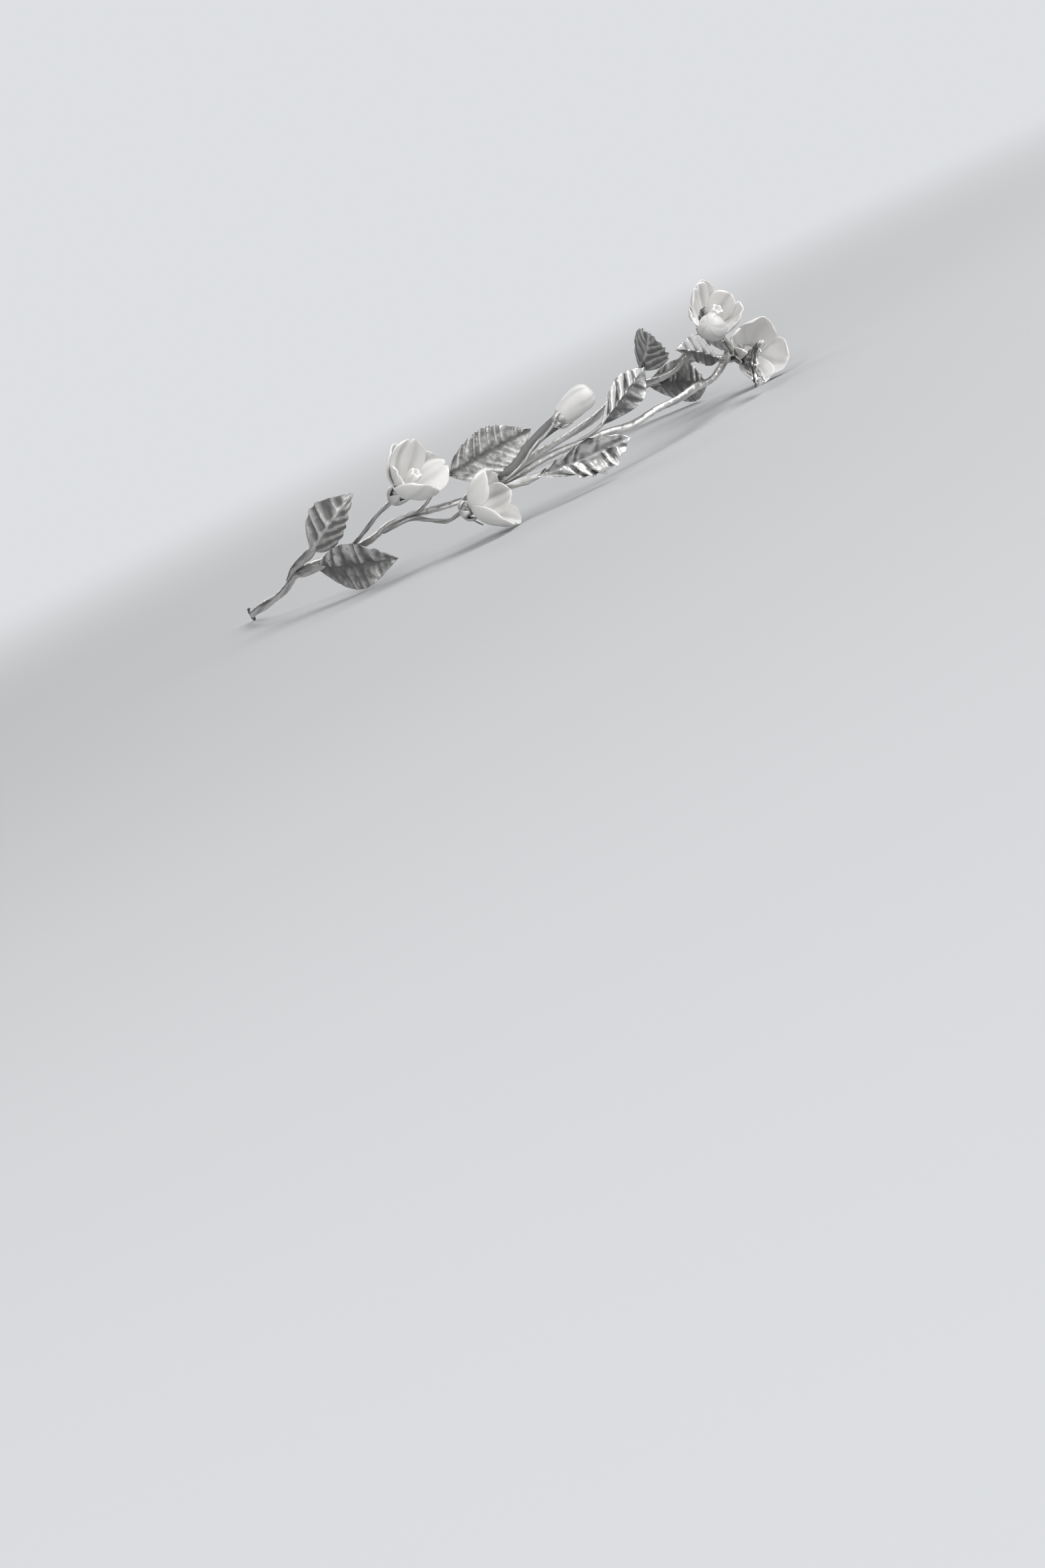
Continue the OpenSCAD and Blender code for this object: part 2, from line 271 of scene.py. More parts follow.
@dataclass(frozen=True)
class Finish:
    """A material, made once from its own nodes, which give a mix of two colours, a gloss and bumps.

    Args:
        name: The material's name.
        metallic: How metallic it is.
        roughness: Its typical roughness, which the nodes vary.
        light: Colour of its clean or rubbed places, and of its painted highlights.
        dark: Colour of its dull places, and of its painted shade.
    """

    name: str
    metallic: float
    roughness: float
    light: str
    dark: str
    grains: ClassVar[tuple] = ()  # Size in millimetres and finer layers of each noise
    bumps: ClassVar[float] = 0.05  # Depth of the bumps in millimetres
    extras: ClassVar[dict] = {}  # What else the shader's inputs are set to

    def material(self) -> bpy.types.Material:
        """The material, made at the first call.

        Returns:
            The material.
        """
        made = bpy.data.materials.get(self.name)
        if made is None:
            made = bpy.data.materials.new(self.name)
            made.use_nodes = True
            tree, shader = Tree(made.node_tree), made.node_tree.nodes["Principled BSDF"]
            where = tree.add("ShaderNodeTexCoord", out="Object")
            noises = [tree.add("ShaderNodeTexNoise", {
                "Vector": where, "Scale": 1 / (size * MM), "Detail": layers}, "Fac")
                for size, layers in self.grains]
            share, gloss, height = self.dress(tree, where, *noises)
            mixed = {0: share, 6: linear(self.dark), 7: linear(self.light)}
            tree.feed(shader, {"Metallic": self.metallic, "Roughness": self.roughness, **self.extras})
            tree.feed(shader, {
                "Base Color": tree.add("ShaderNodeMix", mixed, 2, data_type="RGBA"),
                "Roughness": tree.add("ShaderNodeMapRange", gloss),
                "Normal": tree.add("ShaderNodeBump", {
                    "Height": height, "Distance": self.bumps * MM, "Strength": 1.0})})
        return made

    def dress(self, tree: Tree, where: Socket, *noises: Socket) -> tuple[Socket, tuple, Socket]:
        """Adds the finish's own nodes.

        Args:
            tree: The material's tree.
            where: Object coordinates.
            *noises: A noise for each row of the finish's grains.

        Returns:
            The share of the light colour, the roughness as a number with the range that it has and
            the range that it is moved to, and the height of the bumps.
        """
        raise NotImplementedError


@dataclass(frozen=True)
class PressedSilver(Finish):
    """Silver-plated brass, die-pressed and left a little tarnished.

    The ribs are rubbed bright and the grooves hold a grey tarnish, with small pits from the die. A leaf's
    relief also brings painted highlight or painted shade to one half.

    Args:
        pit: Size of a pit in millimetres.
        pitted: Share of the surface that has pits, from 0 to 1.
    """

    pit: float = 0.9
    pitted: float = 0.35
    grains: ClassVar[tuple] = ((2.2, 3.0), (3.0, 1.0), (1.1, 3.0))
    bumps: ClassVar[float] = 0.1

    def dress(self, tree: Tree, where: Socket, *noises: Socket) -> tuple[Socket, tuple, Socket]:
        """Bright ribs, dull grooves, cloudy tarnish, pits and painted highlight or shade by half. Args and
        Returns are as for a Finish.
        """
        cloud, patches, ripple = noises
        # The relief holds the rubbed ribs and each half's painted highlight or painted shade
        relief = tree.add("ShaderNodeAttribute", out="Fac", attribute_name="relief")
        height = tree.chain("SUBTRACT ADD", cloud, 0.5, relief)
        share = tree.add("ShaderNodeMapRange", (height, -0.75, 0.75, 0.0, 1.0),
                         interpolation_type="SMOOTHSTEP")
        pits = tree.add("ShaderNodeTexVoronoi", {
            "Vector": where, "Scale": 1 / (self.pit * MM), "Randomness": 1.0}, "Distance",
            feature="SMOOTH_F1")
        # Pits show only in patches, and the more the surface is pitted the wider the patches are
        wider = 0.3 * self.pitted
        open_pit = tree.add("ShaderNodeMapRange", (pits, 0.12, 0.34, 0.0, 1.0))
        clear = tree.add("ShaderNodeMapRange", (patches, 0.6 - wider, 0.75 - wider, 1.0, 0.0))
        flat = tree.chain("MAXIMUM", open_pit, clear)
        shade = tree.add("ShaderNodeMapRange", (flat, 0.0, 1.0, 0.35, 1.0))
        shaded = tree.chain("MULTIPLY", share, shade)
        bumpy = tree.chain("ADD", ripple, tree.chain("MULTIPLY", flat, 0.3))
        return shaded, (shaded, 0.0, 1.0, self.roughness + 0.16, self.roughness), bumpy


@dataclass(frozen=True)
class WoundTape(Finish):
    """Silver tape wound round a bundle of wires: satin, with lines drawn along it, and painted shade at the
    laps and between the wires.
    """

    def dress(self, tree: Tree, where: Socket, *noises: Socket) -> tuple[Socket, tuple, Socket]:
        """Satin with painted shade at the laps and between the wires, and lengthwise lines. Args and Returns
        are as for a Finish.
        """
        wind, clock, run, relief = (tree.add("ShaderNodeAttribute", out="Fac", attribute_name=mark)
                                    for mark in ("wind", "clock", "run", "relief"))
        # Lines drawn along the tape, a few tenths of a millimetre apart and some millimetres long
        around = (tree.chain(f"MULTIPLY {wave} MULTIPLY", clock, math.tau, 3.0)
                  for wave in ("COSINE", "SINE"))
        lay = tree.add("ShaderNodeCombineXYZ", (*around, tree.chain("MULTIPLY", run, 1 / (4 * MM))))
        lines = tree.add("ShaderNodeTexNoise", {"Vector": lay, "Scale": 1.6, "Detail": 3.0}, "Fac")
        edge = tree.chain("SUBTRACT ABSOLUTE", wind, 0.5)
        lap = tree.add("ShaderNodeMapRange", (edge, 0.42, 0.5, 1.0, 0.0))
        # Painted shade: darker in the grooves between the wires and at the tape's laps
        low, line, turn = (tree.add("ShaderNodeMapRange", row) for row in (
            (relief, -1.0, 0.2, 0.35, 1.0), (lines, 0.3, 0.6, 0.55, 1.0), (lap, 0.0, 1.0, 0.55, 1.0)))
        share = tree.chain("MULTIPLY MULTIPLY", low, line, turn)
        return share, (lines, 0.25, 0.75, self.roughness - 0.08, self.roughness + 0.12), lines


@dataclass(frozen=True)
class BareWire(Finish):
    """Bare steel craft wire, grey from handling, with darker patches and faint draw marks."""

    grains: ClassVar[tuple] = ((1.3, 2.0), (0.35, 2.0))
    bumps: ClassVar[float] = 0.03

    def dress(self, tree: Tree, where: Socket, *noises: Socket) -> tuple[Socket, tuple, Socket]:
        """Patchy grey with a fine ripple. Args and Returns are as for a Finish."""
        patch = tree.add("ShaderNodeMapRange", (noises[0], 0.35, 0.65, 0.0, 1.0))
        return patch, (patch, 0.0, 1.0, self.roughness + 0.12, self.roughness), noises[1]


@dataclass(frozen=True)
class WhiteClay(Finish):
    """White air-dried modelling clay, smoothed by hand and faintly satin.

    Light goes a little way into it, so thin rims glow, and the folds are painted a soft grey shade.
    """

    grains: ClassVar[tuple] = ((2.5, 2.0), (0.8, 2.0), (1.4, 4.0))
    extras: ClassVar[dict] = {"Subsurface Weight": 0.25, "Subsurface Radius": (1.0, 0.9, 0.8),
                              "Subsurface Scale": 0.8 * MM}

    def dress(self, tree: Tree, where: Socket, *noises: Socket) -> tuple[Socket, tuple, Socket]:
        """Soft white, painted shade in the folds and finger-smoothed bumps. Args and Returns are as for a
        Finish.
        """
        cloud, gloss, bumpy = noises
        relief = tree.add("ShaderNodeAttribute", out="Fac", attribute_name="relief")
        # Painted shade: a low relief, in folds and creases, takes the darker colour; the cloud varies the
        # tone at random
        tone_and_painted_shade = tree.chain("MULTIPLY ADD", cloud, 0.3, relief)
        share = tree.add("ShaderNodeMapRange", (tone_and_painted_shade, -0.8, 0.15, 0.0, 1.0))
        return share, (gloss, 0.3, 0.7, self.roughness - 0.05, self.roughness + 0.08), bumpy


LEAF_SILVER = PressedSilver("pressed silver plate", 1.0, 0.42, "#DDDCDA", "#70706F")
SATIN_SILVER = PressedSilver("satin silver plate", 1.0, 0.5, "#CFCECC", "#828281")
PITTED_SILVER = PressedSilver("pitted silver plate", 1.0, 0.42, "#D6D5D3", "#747473", pit=1.5, pitted=0.7)
# A copy of the pressed silver for leaves d and e: near-white ribs as painted highlights, and grooves darker
# than on the other leaves as painted shade
PAINTED_LIGHT_SILVER = PressedSilver("rubbed silver plate", 1.0, 0.25, "#F6F5F3", "#5C5C5C", pitted=0.1)
CALYX_SILVER = PressedSilver("crumpled silver foil", 1.0, 0.52, "#E6E5E3", "#B4B4B3", pit=0.7)
TAPE = WoundTape("wound silver tape", 1.0, 0.42, "#DAD9D7", "#8C8B8A")
STEM_TAPE = WoundTape("wound grey tape", 1.0, 0.42, "#C6C5C3", "#7E7D7C")
# The bud's strap is coloured dark as painted shade
SHADE_PAINTED_TAPE = WoundTape("tape painted dark as shade", 1.0, 0.5, "#7A7A79", "#505050")
DARK_WIRE = BareWire("bare craft wire", 1.0, 0.34, "#85868A", "#4C4C50")
# Each clay's dark colour is painted shade for its folds and creases
CLAY = WhiteClay("white modelling clay", 0.0, 0.42, "#DAD9D7", "#B6B6B6")
# The same clay made darker for the bud, as painted shade
SHADE_PAINTED_CLAY = WhiteClay("modelling clay with painted shade", 0.0, 0.45, "#C9C8C6", "#A8A8A8")


# Meshes


class Shape:
    """Closed shells gathered for one piece, each with faces that point outwards."""

    def __init__(self) -> None:
        """Starts with nothing."""
        self.points: list[Array] = []
        self.faces: list[list[int]] = []
        self.marks: dict[str, list[Array]] = {}
        self.count = 0

    def add(self, points: Array, faces: list[Array], marks: dict[str, Array]) -> None:
        """Adds one closed shell, turned the right way out.

        Args:
            points: The shell's points, one to a row.
            faces: Arrays of faces as point numbers, each of one number of sides.
            marks: Numbers for each point, kept on the mesh under their names.
        """
        volume = sum(
            np.einsum("ij,ij", points[f[:, 0]], np.cross(points[f[:, i]], points[f[:, i + 1]]))
            for f in faces for i in range(1, f.shape[1] - 1))
        for f in faces:
            self.faces += ((f if volume > 0 else f[:, ::-1]) + self.count).tolist()
        self.points.append(points)
        for name, numbers in marks.items():
            self.marks.setdefault(name, []).append(numbers)
        self.count += len(points)

    def sheet(self, front: Array, back: Array, **marks: Array | float) -> None:
        """Adds a closed sheet between two grids of points of the same size.

        Args:
            front: Grid of points on one side.
            back: Grid of points on the other.
            **marks: Numbers that both sides take, as a grid, a row, a column or one for all.
        """
        rows, cols, _ = front.shape
        n = rows * cols
        at = np.arange(n).reshape(rows, cols)
        quads = np.stack([at[:-1, :-1], at[:-1, 1:], at[1:, 1:], at[1:, :-1]], -1).reshape(-1, 4)
        edge = np.concatenate([at[0, ::-1], at[1:, 0], at[-1, 1:], at[-2:0:-1, -1]])
        ahead = np.roll(edge, -1)
        rim = np.stack([edge, ahead, ahead + n, edge + n], -1)
        grids = {name: np.broadcast_to(numbers, (rows, cols)).ravel() for name, numbers in marks.items()}
        self.add(np.concatenate([front.reshape(-1, 3), back.reshape(-1, 3)]),
                 [np.concatenate([quads, quads[:, ::-1] + n, rim])],
                 {name: np.concatenate([numbers, numbers]) for name, numbers in grids.items()})

    def skin(self, rings: Array, relief: Array | float) -> None:
        """Adds a closed skin over rings of points, with a point in the middle of each end.

        Args:
            rings: Rings by points by three.
            relief: How far each ring point stands proud, or one number for all.
        """
        rows, sides, _ = rings.shape
        at = np.arange(rows * sides).reshape(rows, sides)
        on = np.roll(at, -1, axis=1)
        walls = np.stack([at[:-1], at[1:], on[1:], on[:-1]], -1).reshape(-1, 4)
        foot = np.full(sides, rows * sides)
        fans = np.concatenate([np.stack([foot, at[0], on[0]], -1), np.stack([foot + 1, on[-1], at[-1]], -1)])
        ends = np.stack([rings[0].mean(0), rings[-1].mean(0)])
        proud = np.broadcast_to(relief, (rows, sides))
        self.add(np.concatenate([rings.reshape(-1, 3), ends]), [walls, fans],
                 {"relief": np.append(proud.ravel(), [proud[0].mean(), proud[-1].mean()])})

    def make(self, name: str, hand: Hand, finish: Finish) -> Piece:
        """Turns the shells into one object.

        Args:
            name: The object's name.
            hand: The side that it is on.
            finish: Its finish.

        Returns:
            The object, with its place in its mesh.
        """
        faces = self.faces if hand is Hand.RIGHT else [f[::-1] for f in self.faces]
        mesh = bpy.data.meshes.new(name)
        mesh.from_pydata(OVAL.settled(np.concatenate(self.points), hand), [], faces)
        for mark, numbers in self.marks.items():
            mesh.attributes.new(mark, "FLOAT", "POINT").data.foreach_set("value", np.concatenate(numbers))
        mesh.shade_smooth()
        mesh.materials.append(finish.material())
        return new_object(name, mesh)


class GeometryTree(Tree):
    """A Geometry Nodes tree with named inputs, which grows a piece's mesh."""

    KINDS: ClassVar[dict] = {float: "Float", int: "Int", tuple: "Vector", type(None): "Material"}

    def __init__(self, name: str, inputs: dict) -> None:
        """Starts the tree with a geometry in and out.

        Args:
            name: The tree's name.
            inputs: The default of each named input, whose type is the input's own.
        """
        super().__init__(bpy.data.node_groups.new(name, "GeometryNodeTree"))
        new_socket = self.tree.interface.new_socket
        for way in ("INPUT", "OUTPUT"):
            new_socket("Geometry", in_out=way, socket_type="NodeSocketGeometry")
        for label, default in {**inputs, "Seed": 0.0, "Material": None}.items():
            socket = new_socket(label, in_out="INPUT", socket_type="NodeSocket" + self.KINDS[type(default)])
            if default is not None:
                socket.default_value = default
        self.given = {s.name: s for s in self.add("NodeGroupInput").node.outputs if s.name}

    def close(self, geometry: Socket, **marks: Socket) -> None:
        """Ends the tree in smooth faces, Realize Instances and Set Material.

        Args:
            geometry: What the tree made.
            **marks: Numbers that are kept on its points under their names.
        """
        for name, number in marks.items():
            geometry = self.add("GeometryNodeStoreNamedAttribute", {
                "Geometry": geometry, "Name": name, "Value": number}, data_type="FLOAT", domain="POINT")
        for kind in ("SetShadeSmooth", "RealizeInstances"):
            geometry = self.add("GeometryNode" + kind, {"Geometry": geometry})
        dressed = self.add("GeometryNodeSetMaterial", {
            "Geometry": geometry, "Material": self.given["Material"]})
        self.add("NodeGroupOutput", {"Geometry": dressed})

    def grow(self, source: Piece, values: dict, seed: int, finish: Finish) -> Piece:
        """Runs the tree on an object and keeps the result as its plain mesh.

        Args:
            source: The object that the tree starts from.
            values: The tree's inputs by name.
            seed: Makes its unevenness its own.
            finish: Its finish.

        Returns:
            The same object with the grown mesh and no modifier.
        """
        values = {**values, "Seed": float(seed), "Material": finish.material()}
        modifier = source.modifiers.new("grow", "NODES")
        modifier.node_group = self.tree
        for item in self.tree.interface.items_tree:
            if item.item_type == "SOCKET" and item.in_out == "INPUT" and item.name in values:
                modifier[item.identifier] = values[item.name]
        bpy.context.view_layer.update()
        graph = bpy.context.evaluated_depsgraph_get()
        mesh = bpy.data.meshes.new_from_object(
            source.evaluated_get(graph), preserve_all_data_layers=True, depsgraph=graph)
        source.modifiers.remove(modifier)
        source.data = mesh
        mesh.name = source.name
        return source


def place(piece: Piece, node: str) -> None:
    """Fixes a finished piece to the object in place of a CAD node.

    Args:
        piece: The finished piece.
        node: The CAD node that it stands for.
    """
    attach(piece, "root")
    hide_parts(node)
    log.info("%s: %d faces", piece.name, len(piece.data.polygons))


# Wires


@dataclass(frozen=True)
class Winding:
    """How a wire is wound with tape.

    Args:
        pitch: Millimetres from one turn of the tape to the next.
        lap: Height of the tape's edge where it laps.
        strands: Number of wires that show as ridges under the tape.
        strand_depth: Depth between two ridges, in parts of the radius.
        lay: Millimetres for one turn of the strands round each other.
        wobble: Unevenness of the radius, in millimetres.
        spacing: Millimetres between two rings of the mesh.
        sides: Points round the wire.
    """

    pitch: float = 3.7
    lap: float = 0.13
    strands: float = 2.0
    strand_depth: float = 0.24
    lay: float = 60.0
    wobble: float = 0.09
    spacing: float = 0.34
    sides: int = 26

    def inputs(self) -> dict:
        """The tree's inputs by name, with lengths in metres."""
        return {"Ring Spacing": self.spacing * MM, "Sides": self.sides, "Turn Pitch": self.pitch * MM,
                "Lap Height": self.lap * MM, "Strands": self.strands, "Strand Depth": self.strand_depth,
                "Strand Lay": self.lay * MM, "Wobble": self.wobble * MM}


STALK_WINDING = Winding(strand_depth=0.2, lay=22, lap=0.05, wobble=0.07, spacing=0.25, sides=18)
STEM_WINDING = Winding(strand_depth=0.22, lay=18, lap=0.06, wobble=0.08, spacing=0.25, sides=18)
LOOP_WINDING = Winding(strand_depth=0.02, lap=0.0, wobble=0.03, spacing=0.14, sides=20)
HAIR_WINDING = Winding(strand_depth=0.0, lap=0.0, wobble=0.02, spacing=0.12, sides=10)


class WireMill(GeometryTree):
    """Winds wires with tape along paths."""

    LAP_RISE = 0.86  # Share of a turn over which the tape climbs to its edge
    LUMPS = 260.0  # Lumps in a metre
    END_ROUND = 1.015  # Rounds the wire's ends, which keep an eighth of the radius

    def __init__(self) -> None:
        """Builds the tree: a round tube whose points then move to the winding's own radius."""
        super().__init__("wound wire", Winding().inputs())
        add, chain, given = self.add, self.chain, self.given
        line = add("GeometryNodeMeshToCurve", {"Mesh": given["Geometry"]})
        even = add("GeometryNodeResampleCurve", {
            "Curve": line, "Length": given["Ring Spacing"]}, mode="LENGTH")
        ring = add("GeometryNodeCurvePrimitiveCircle", {
            "Resolution": given["Sides"], "Radius": 1.0}, mode="RADIUS")
        here = add("GeometryNodeInputPosition")
        along = add("GeometryNodeSplineParameter").node.outputs
        path, rim = (add("GeometryNodeCaptureAttribute", {"Geometry": g}).node for g in (even, ring))
        for node, kind, label, source in (
                (path, "VECTOR", "Centre", here), (path, "FLOAT", "Run", along["Length"]),
                (path, "FLOAT", "Whole", add("GeometryNodeSplineLength")),
                (rim, "FLOAT", "Clock", along["Factor"])):
            node.capture_items.new(kind, label)
            self.feed(node, {label: source})
        thick = add("GeometryNodeInputNamedAttribute", {"Name": "thick"}, data_type="FLOAT")
        tube = add("GeometryNodeCurveToMesh", {
            "Curve": path.outputs["Geometry"], "Profile Curve": rim.outputs["Geometry"],
            "Scale": thick, "Fill Caps": True})
        centre, run, whole = (path.outputs[label] for label in ("Centre", "Run", "Whole"))
        clock = rim.outputs["Clock"]
        wind = chain("DIVIDE ADD FRACT", run, given["Turn Pitch"], clock)
        falling = chain("MULTIPLY ADD MULTIPLY", wind, -1.0, 1.0, 1 / (1 - self.LAP_RISE))
        lap = chain("DIVIDE MINIMUM MULTIPLY", wind, self.LAP_RISE, falling, given["Lap Height"])
        twist = chain("DIVIDE ADD MULTIPLY", run, given["Strand Lay"], clock, given["Strands"])
        strand = chain("MULTIPLY COSINE", twist, math.tau)
        ridge = chain("SUBTRACT MULTIPLY MULTIPLY MULTIPLY", strand, 1.0, given["Strand Depth"], 0.5, thick)
        seeded = chain("ADD", here, given["Seed"], kind=VECTORS)
        rough = add("ShaderNodeTexNoise", {"Vector": seeded, "Scale": self.LUMPS, "Detail": 2.0}, "Fac")
        wobble = chain("SUBTRACT MULTIPLY MULTIPLY", rough, 0.5, 2.0, given["Wobble"])
        from_end = chain("MINIMUM DIVIDE MINIMUM", run, chain("SUBTRACT", whole, run), thick, 1.0)
        left = chain("SUBTRACT", 1.0, from_end)
        rounding = chain("MULTIPLY MULTIPLY ADD SQRT", left, left, -1.0, self.END_ROUND)
        radius = chain("ADD ADD ADD MULTIPLY", thick, ridge, lap, wobble, rounding)
        moved = chain("SUBTRACT NORMALIZE MULTIPLY ADD", here, centre, radius, centre, kind=VECTORS)
        made = add("GeometryNodeSetPosition", {"Geometry": tube, "Position": moved})
        # The strands' relief paints shade between the wires in the tape's finish
        self.close(made, wind=wind, clock=clock, run=run, relief=strand)

    def draw(self, name: str, hand: Hand, path: Array, winding: Winding, finish: Finish, seed: int) -> Piece:
        """Draws one wire.

        Args:
            name: The object's name.
            hand: The side that it is on.
            path: Rows of x, y, z and radius, in millimetres.
            winding: How it is wound.
            finish: Its finish.
            seed: Makes its unevenness its own.

        Returns:
            The wire as a plain mesh.
        """
        mesh = bpy.data.meshes.new(name)
        mesh.from_pydata(OVAL.settled(path[:, :3], hand), [(i, i + 1) for i in range(len(path) - 1)], [])
        mesh.attributes.new("thick", "FLOAT", "POINT").data.foreach_set("value", path[:, 3] * MM)
        return self.grow(new_object(name, mesh), winding.inputs(), seed, finish)


@dataclass
class Band:
    """The wrapped wire from one end of the headband to the other.

    Args:
        rows: Angle round the oval, distance outside, height and radius of its right half.
        path: The same four numbers from the left end to the right one, drawn smooth and not given.
    """

    rows: tuple = (
        (0, 0, 0.9, 1.15), (7, 0.3, 1.4, 1.25), (14, 0, 0.9, 1.15), (20, 0, 2.0, 1.4), (25, 0, 3.0, 1.3),
        (31, 0, 4.0, 1.25), (37, 0, 4.1, 1.25), (43, 0, 2.9, 1.4), (48, 0, 3.4, 1.1), (54, 0, 4.6, 1.0),
        (59, 0, 5.9, 1.0), (63, 0, 7.2, 1.1), (68, 0, 7.7, 1.1), (73, 0, 6.0, 1.15), (80, 0, 5.6, 1.15),
        (87, 0, 6.8, 1.15), (93, 0, 7.1, 1.2), (97, 0, 5.4, 1.0), (102, 0, 3.2, 1.25), (110, 0, 1.9, 1.35),
        (120, 0, 0.9, 1.35), (130, 0, 0.2, 1.3))
    slack: ClassVar[float] = 0.06  # How much thinner the wire is drawn, to leave room for its winding
    path: Array = field(init=False)

    def __post_init__(self) -> None:
        """Lays the smooth path through both halves."""
        left = [(-angle, *rest) for angle, *rest in self.rows[:0:-1]]
        self.path = smooth(left + list(self.rows), 6)

    def across(self, place_on: tuple[float, float], radius: float, gap: float) -> Array:
        """The place of a wire that is bound to the band.

        Args:
            place_on: Angle round the oval, and direction round the band, 0 outside and 90 on top.
            radius: The bound wire's radius.
            gap: Space left between the two.

        Returns:
            Angle, distance outside and height.
        """
        angle, turn = place_on[0], math.radians(place_on[1])
        out, up, thick = (np.interp(angle, self.path[:, 0], self.path[:, i]) for i in (1, 2, 3))
        reach = thick + radius + gap
        return np.array([angle, out + reach * math.cos(turn), up + reach * math.sin(turn)])

    def build(self, mill: WireMill) -> None:
        """Draws the band and puts it in place."""
        path = np.column_stack([OVAL.beside(self.path), self.path[:, 3] - self.slack])
        place(mill.draw("band_wire", Hand.RIGHT, path, Winding(), TAPE, 3), "band")


@dataclass
class Stalk:
    """The path of a leaf's stalk or a bloom's stem, first bound to the band and then free.

    Args:
        bound: Angle round the oval and direction round the band of each bound point.
        free: Angle, distance outside and height of each free point.
        radius: The wire's radius.
    """

    bound: tuple
    free: tuple
    radius: float
    buried: ClassVar[float] = 1.3  # How deep in the band it starts, in parts of its radius
    pressed: ClassVar[float] = 0.08  # How far a bound point is pressed into the winding

    def points(self, band: Band) -> Array:
        """The stalk's points, the first one under the band's winding.

        Args:
            band: The band that it is bound to.

        Returns:
            The points.
        """
        gaps = [-self.buried * self.radius] + [-self.pressed] * (len(self.bound) - 1)
        bound = [band.across(p, self.radius, gap) for p, gap in zip(self.bound, gaps)]
        return OVAL.beside(bound + list(self.free))


STRAP_WALL = 0.22  # Half a strap's thickness


def cut_strap(name: str, hand: Hand, line: Array, half: Array, lift: Array, finish: Finish) -> Piece:
    """Cuts a flat strap of tape that follows a line, with its face away from the head.

    Args:
        name: The object's name.
        hand: The side that it is on.
        line: Points along its middle.
        half: Its half width at each point.
        lift: How far it lies outside the line at each point.
        finish: Its finish.

    Returns:
        The strap.
    """
    v = np.linspace(-1, 1, 15)[None, :]
    run = np.append(0, np.cumsum(np.linalg.norm(np.diff(line, axis=0), axis=1)))[:, None]
    ahead = unit(np.gradient(line, axis=0))
    out = square_to(OVAL.away(line), ahead)
    over = np.cross(out, ahead)
    rise = lift[:, None] - 0.28 * half[:, None] * v ** 2 + 0.06 * np.sin(0.9 * run + 2.5 * v)
    centre = line[:, None] + (v * half[:, None])[..., None] * over[:, None] + rise[..., None] * out[:, None]
    wall = STRAP_WALL * out[:, None]
    shape = Shape()
    shape.sheet(centre + wall, centre - wall, wind=0.5, clock=0.1 * v, run=run * MM, relief=0.6)
    return shape.make(name, hand, finish)


# Leaves


LEAF_WALL = 0.45  # Thickness of a blade's metal
SHEAR = 0.75  # How far the rows of a blade's mesh lean to its tip, as in the part's source


@dataclass(frozen=True)
class Ribs:
    """How ribs are pressed into a blade. A pair is for its lower and its upper half.

    Args:
        veins: Number of veins.
        height: Height of the ribs.
        lean: How far the veins lean to the tip.
        wear: Painted highlight on a half, below zero for painted shade.
        sharp: How narrow the grooves are.
        bend: How far the veins bend forward at the margin, in parts of their spacing.
        drift: How far the veins stray from even spacing.
        uneven: How much one rib differs from the next.
        reach: How the ribs grow from the midrib to the margin, 0 for all alike and 2 for the margin only.
        midrib: Height of the midrib, below zero for a groove.
        fine: Height of the fine lines between the ribs.
        lump: Height of the hammered lumps.
        lump_size: Size of a lump.
    """

    veins: int
    height: tuple = (0.42, 0.42)
    lean: tuple = (0.9, 0.9)
    wear: tuple = (0.0, 0.0)
    sharp: float = 2.2
    bend: float = 0.6
    drift: float = 0.5
    uneven: float = 0.35
    reach: float = 1.0
    midrib: float = 0.3
    fine: float = 0.05
    lump: float = 0.16
    lump_size: float = 2.2

    def inputs(self, face: tuple = (0.0, 0.0, 1.0), length: float = 20.0) -> dict:
        """The tree's inputs by name.

        Args:
            face: The direction that the blade faces.
            length: The blade's length.

        Returns:
            The inputs, with lengths in metres.
        """
        pairs = {}
        for i, half in enumerate(("Lower", "Upper")):
            pairs[f"{half} Lean"] = self.veins * (self.lean[i] - SHEAR) / (length * MM)
            pairs[f"{half} Rib"] = self.height[i] * MM
            pairs[f"{half} Wear"] = self.wear[i]
        return {"Face": face, "Veins": float(self.veins), "Vein Bend": self.bend, "Vein Drift": self.drift,
                "Rib Reach": self.reach, "Groove Sharpness": self.sharp, "Midrib Height": self.midrib * MM,
                "Midrib Width": 0.5 * MM, "Fine Lines": self.fine * MM, "Lump Height": self.lump * MM,
                "Lump Size": self.lump_size * MM, "Unevenness": self.uneven, **pairs}


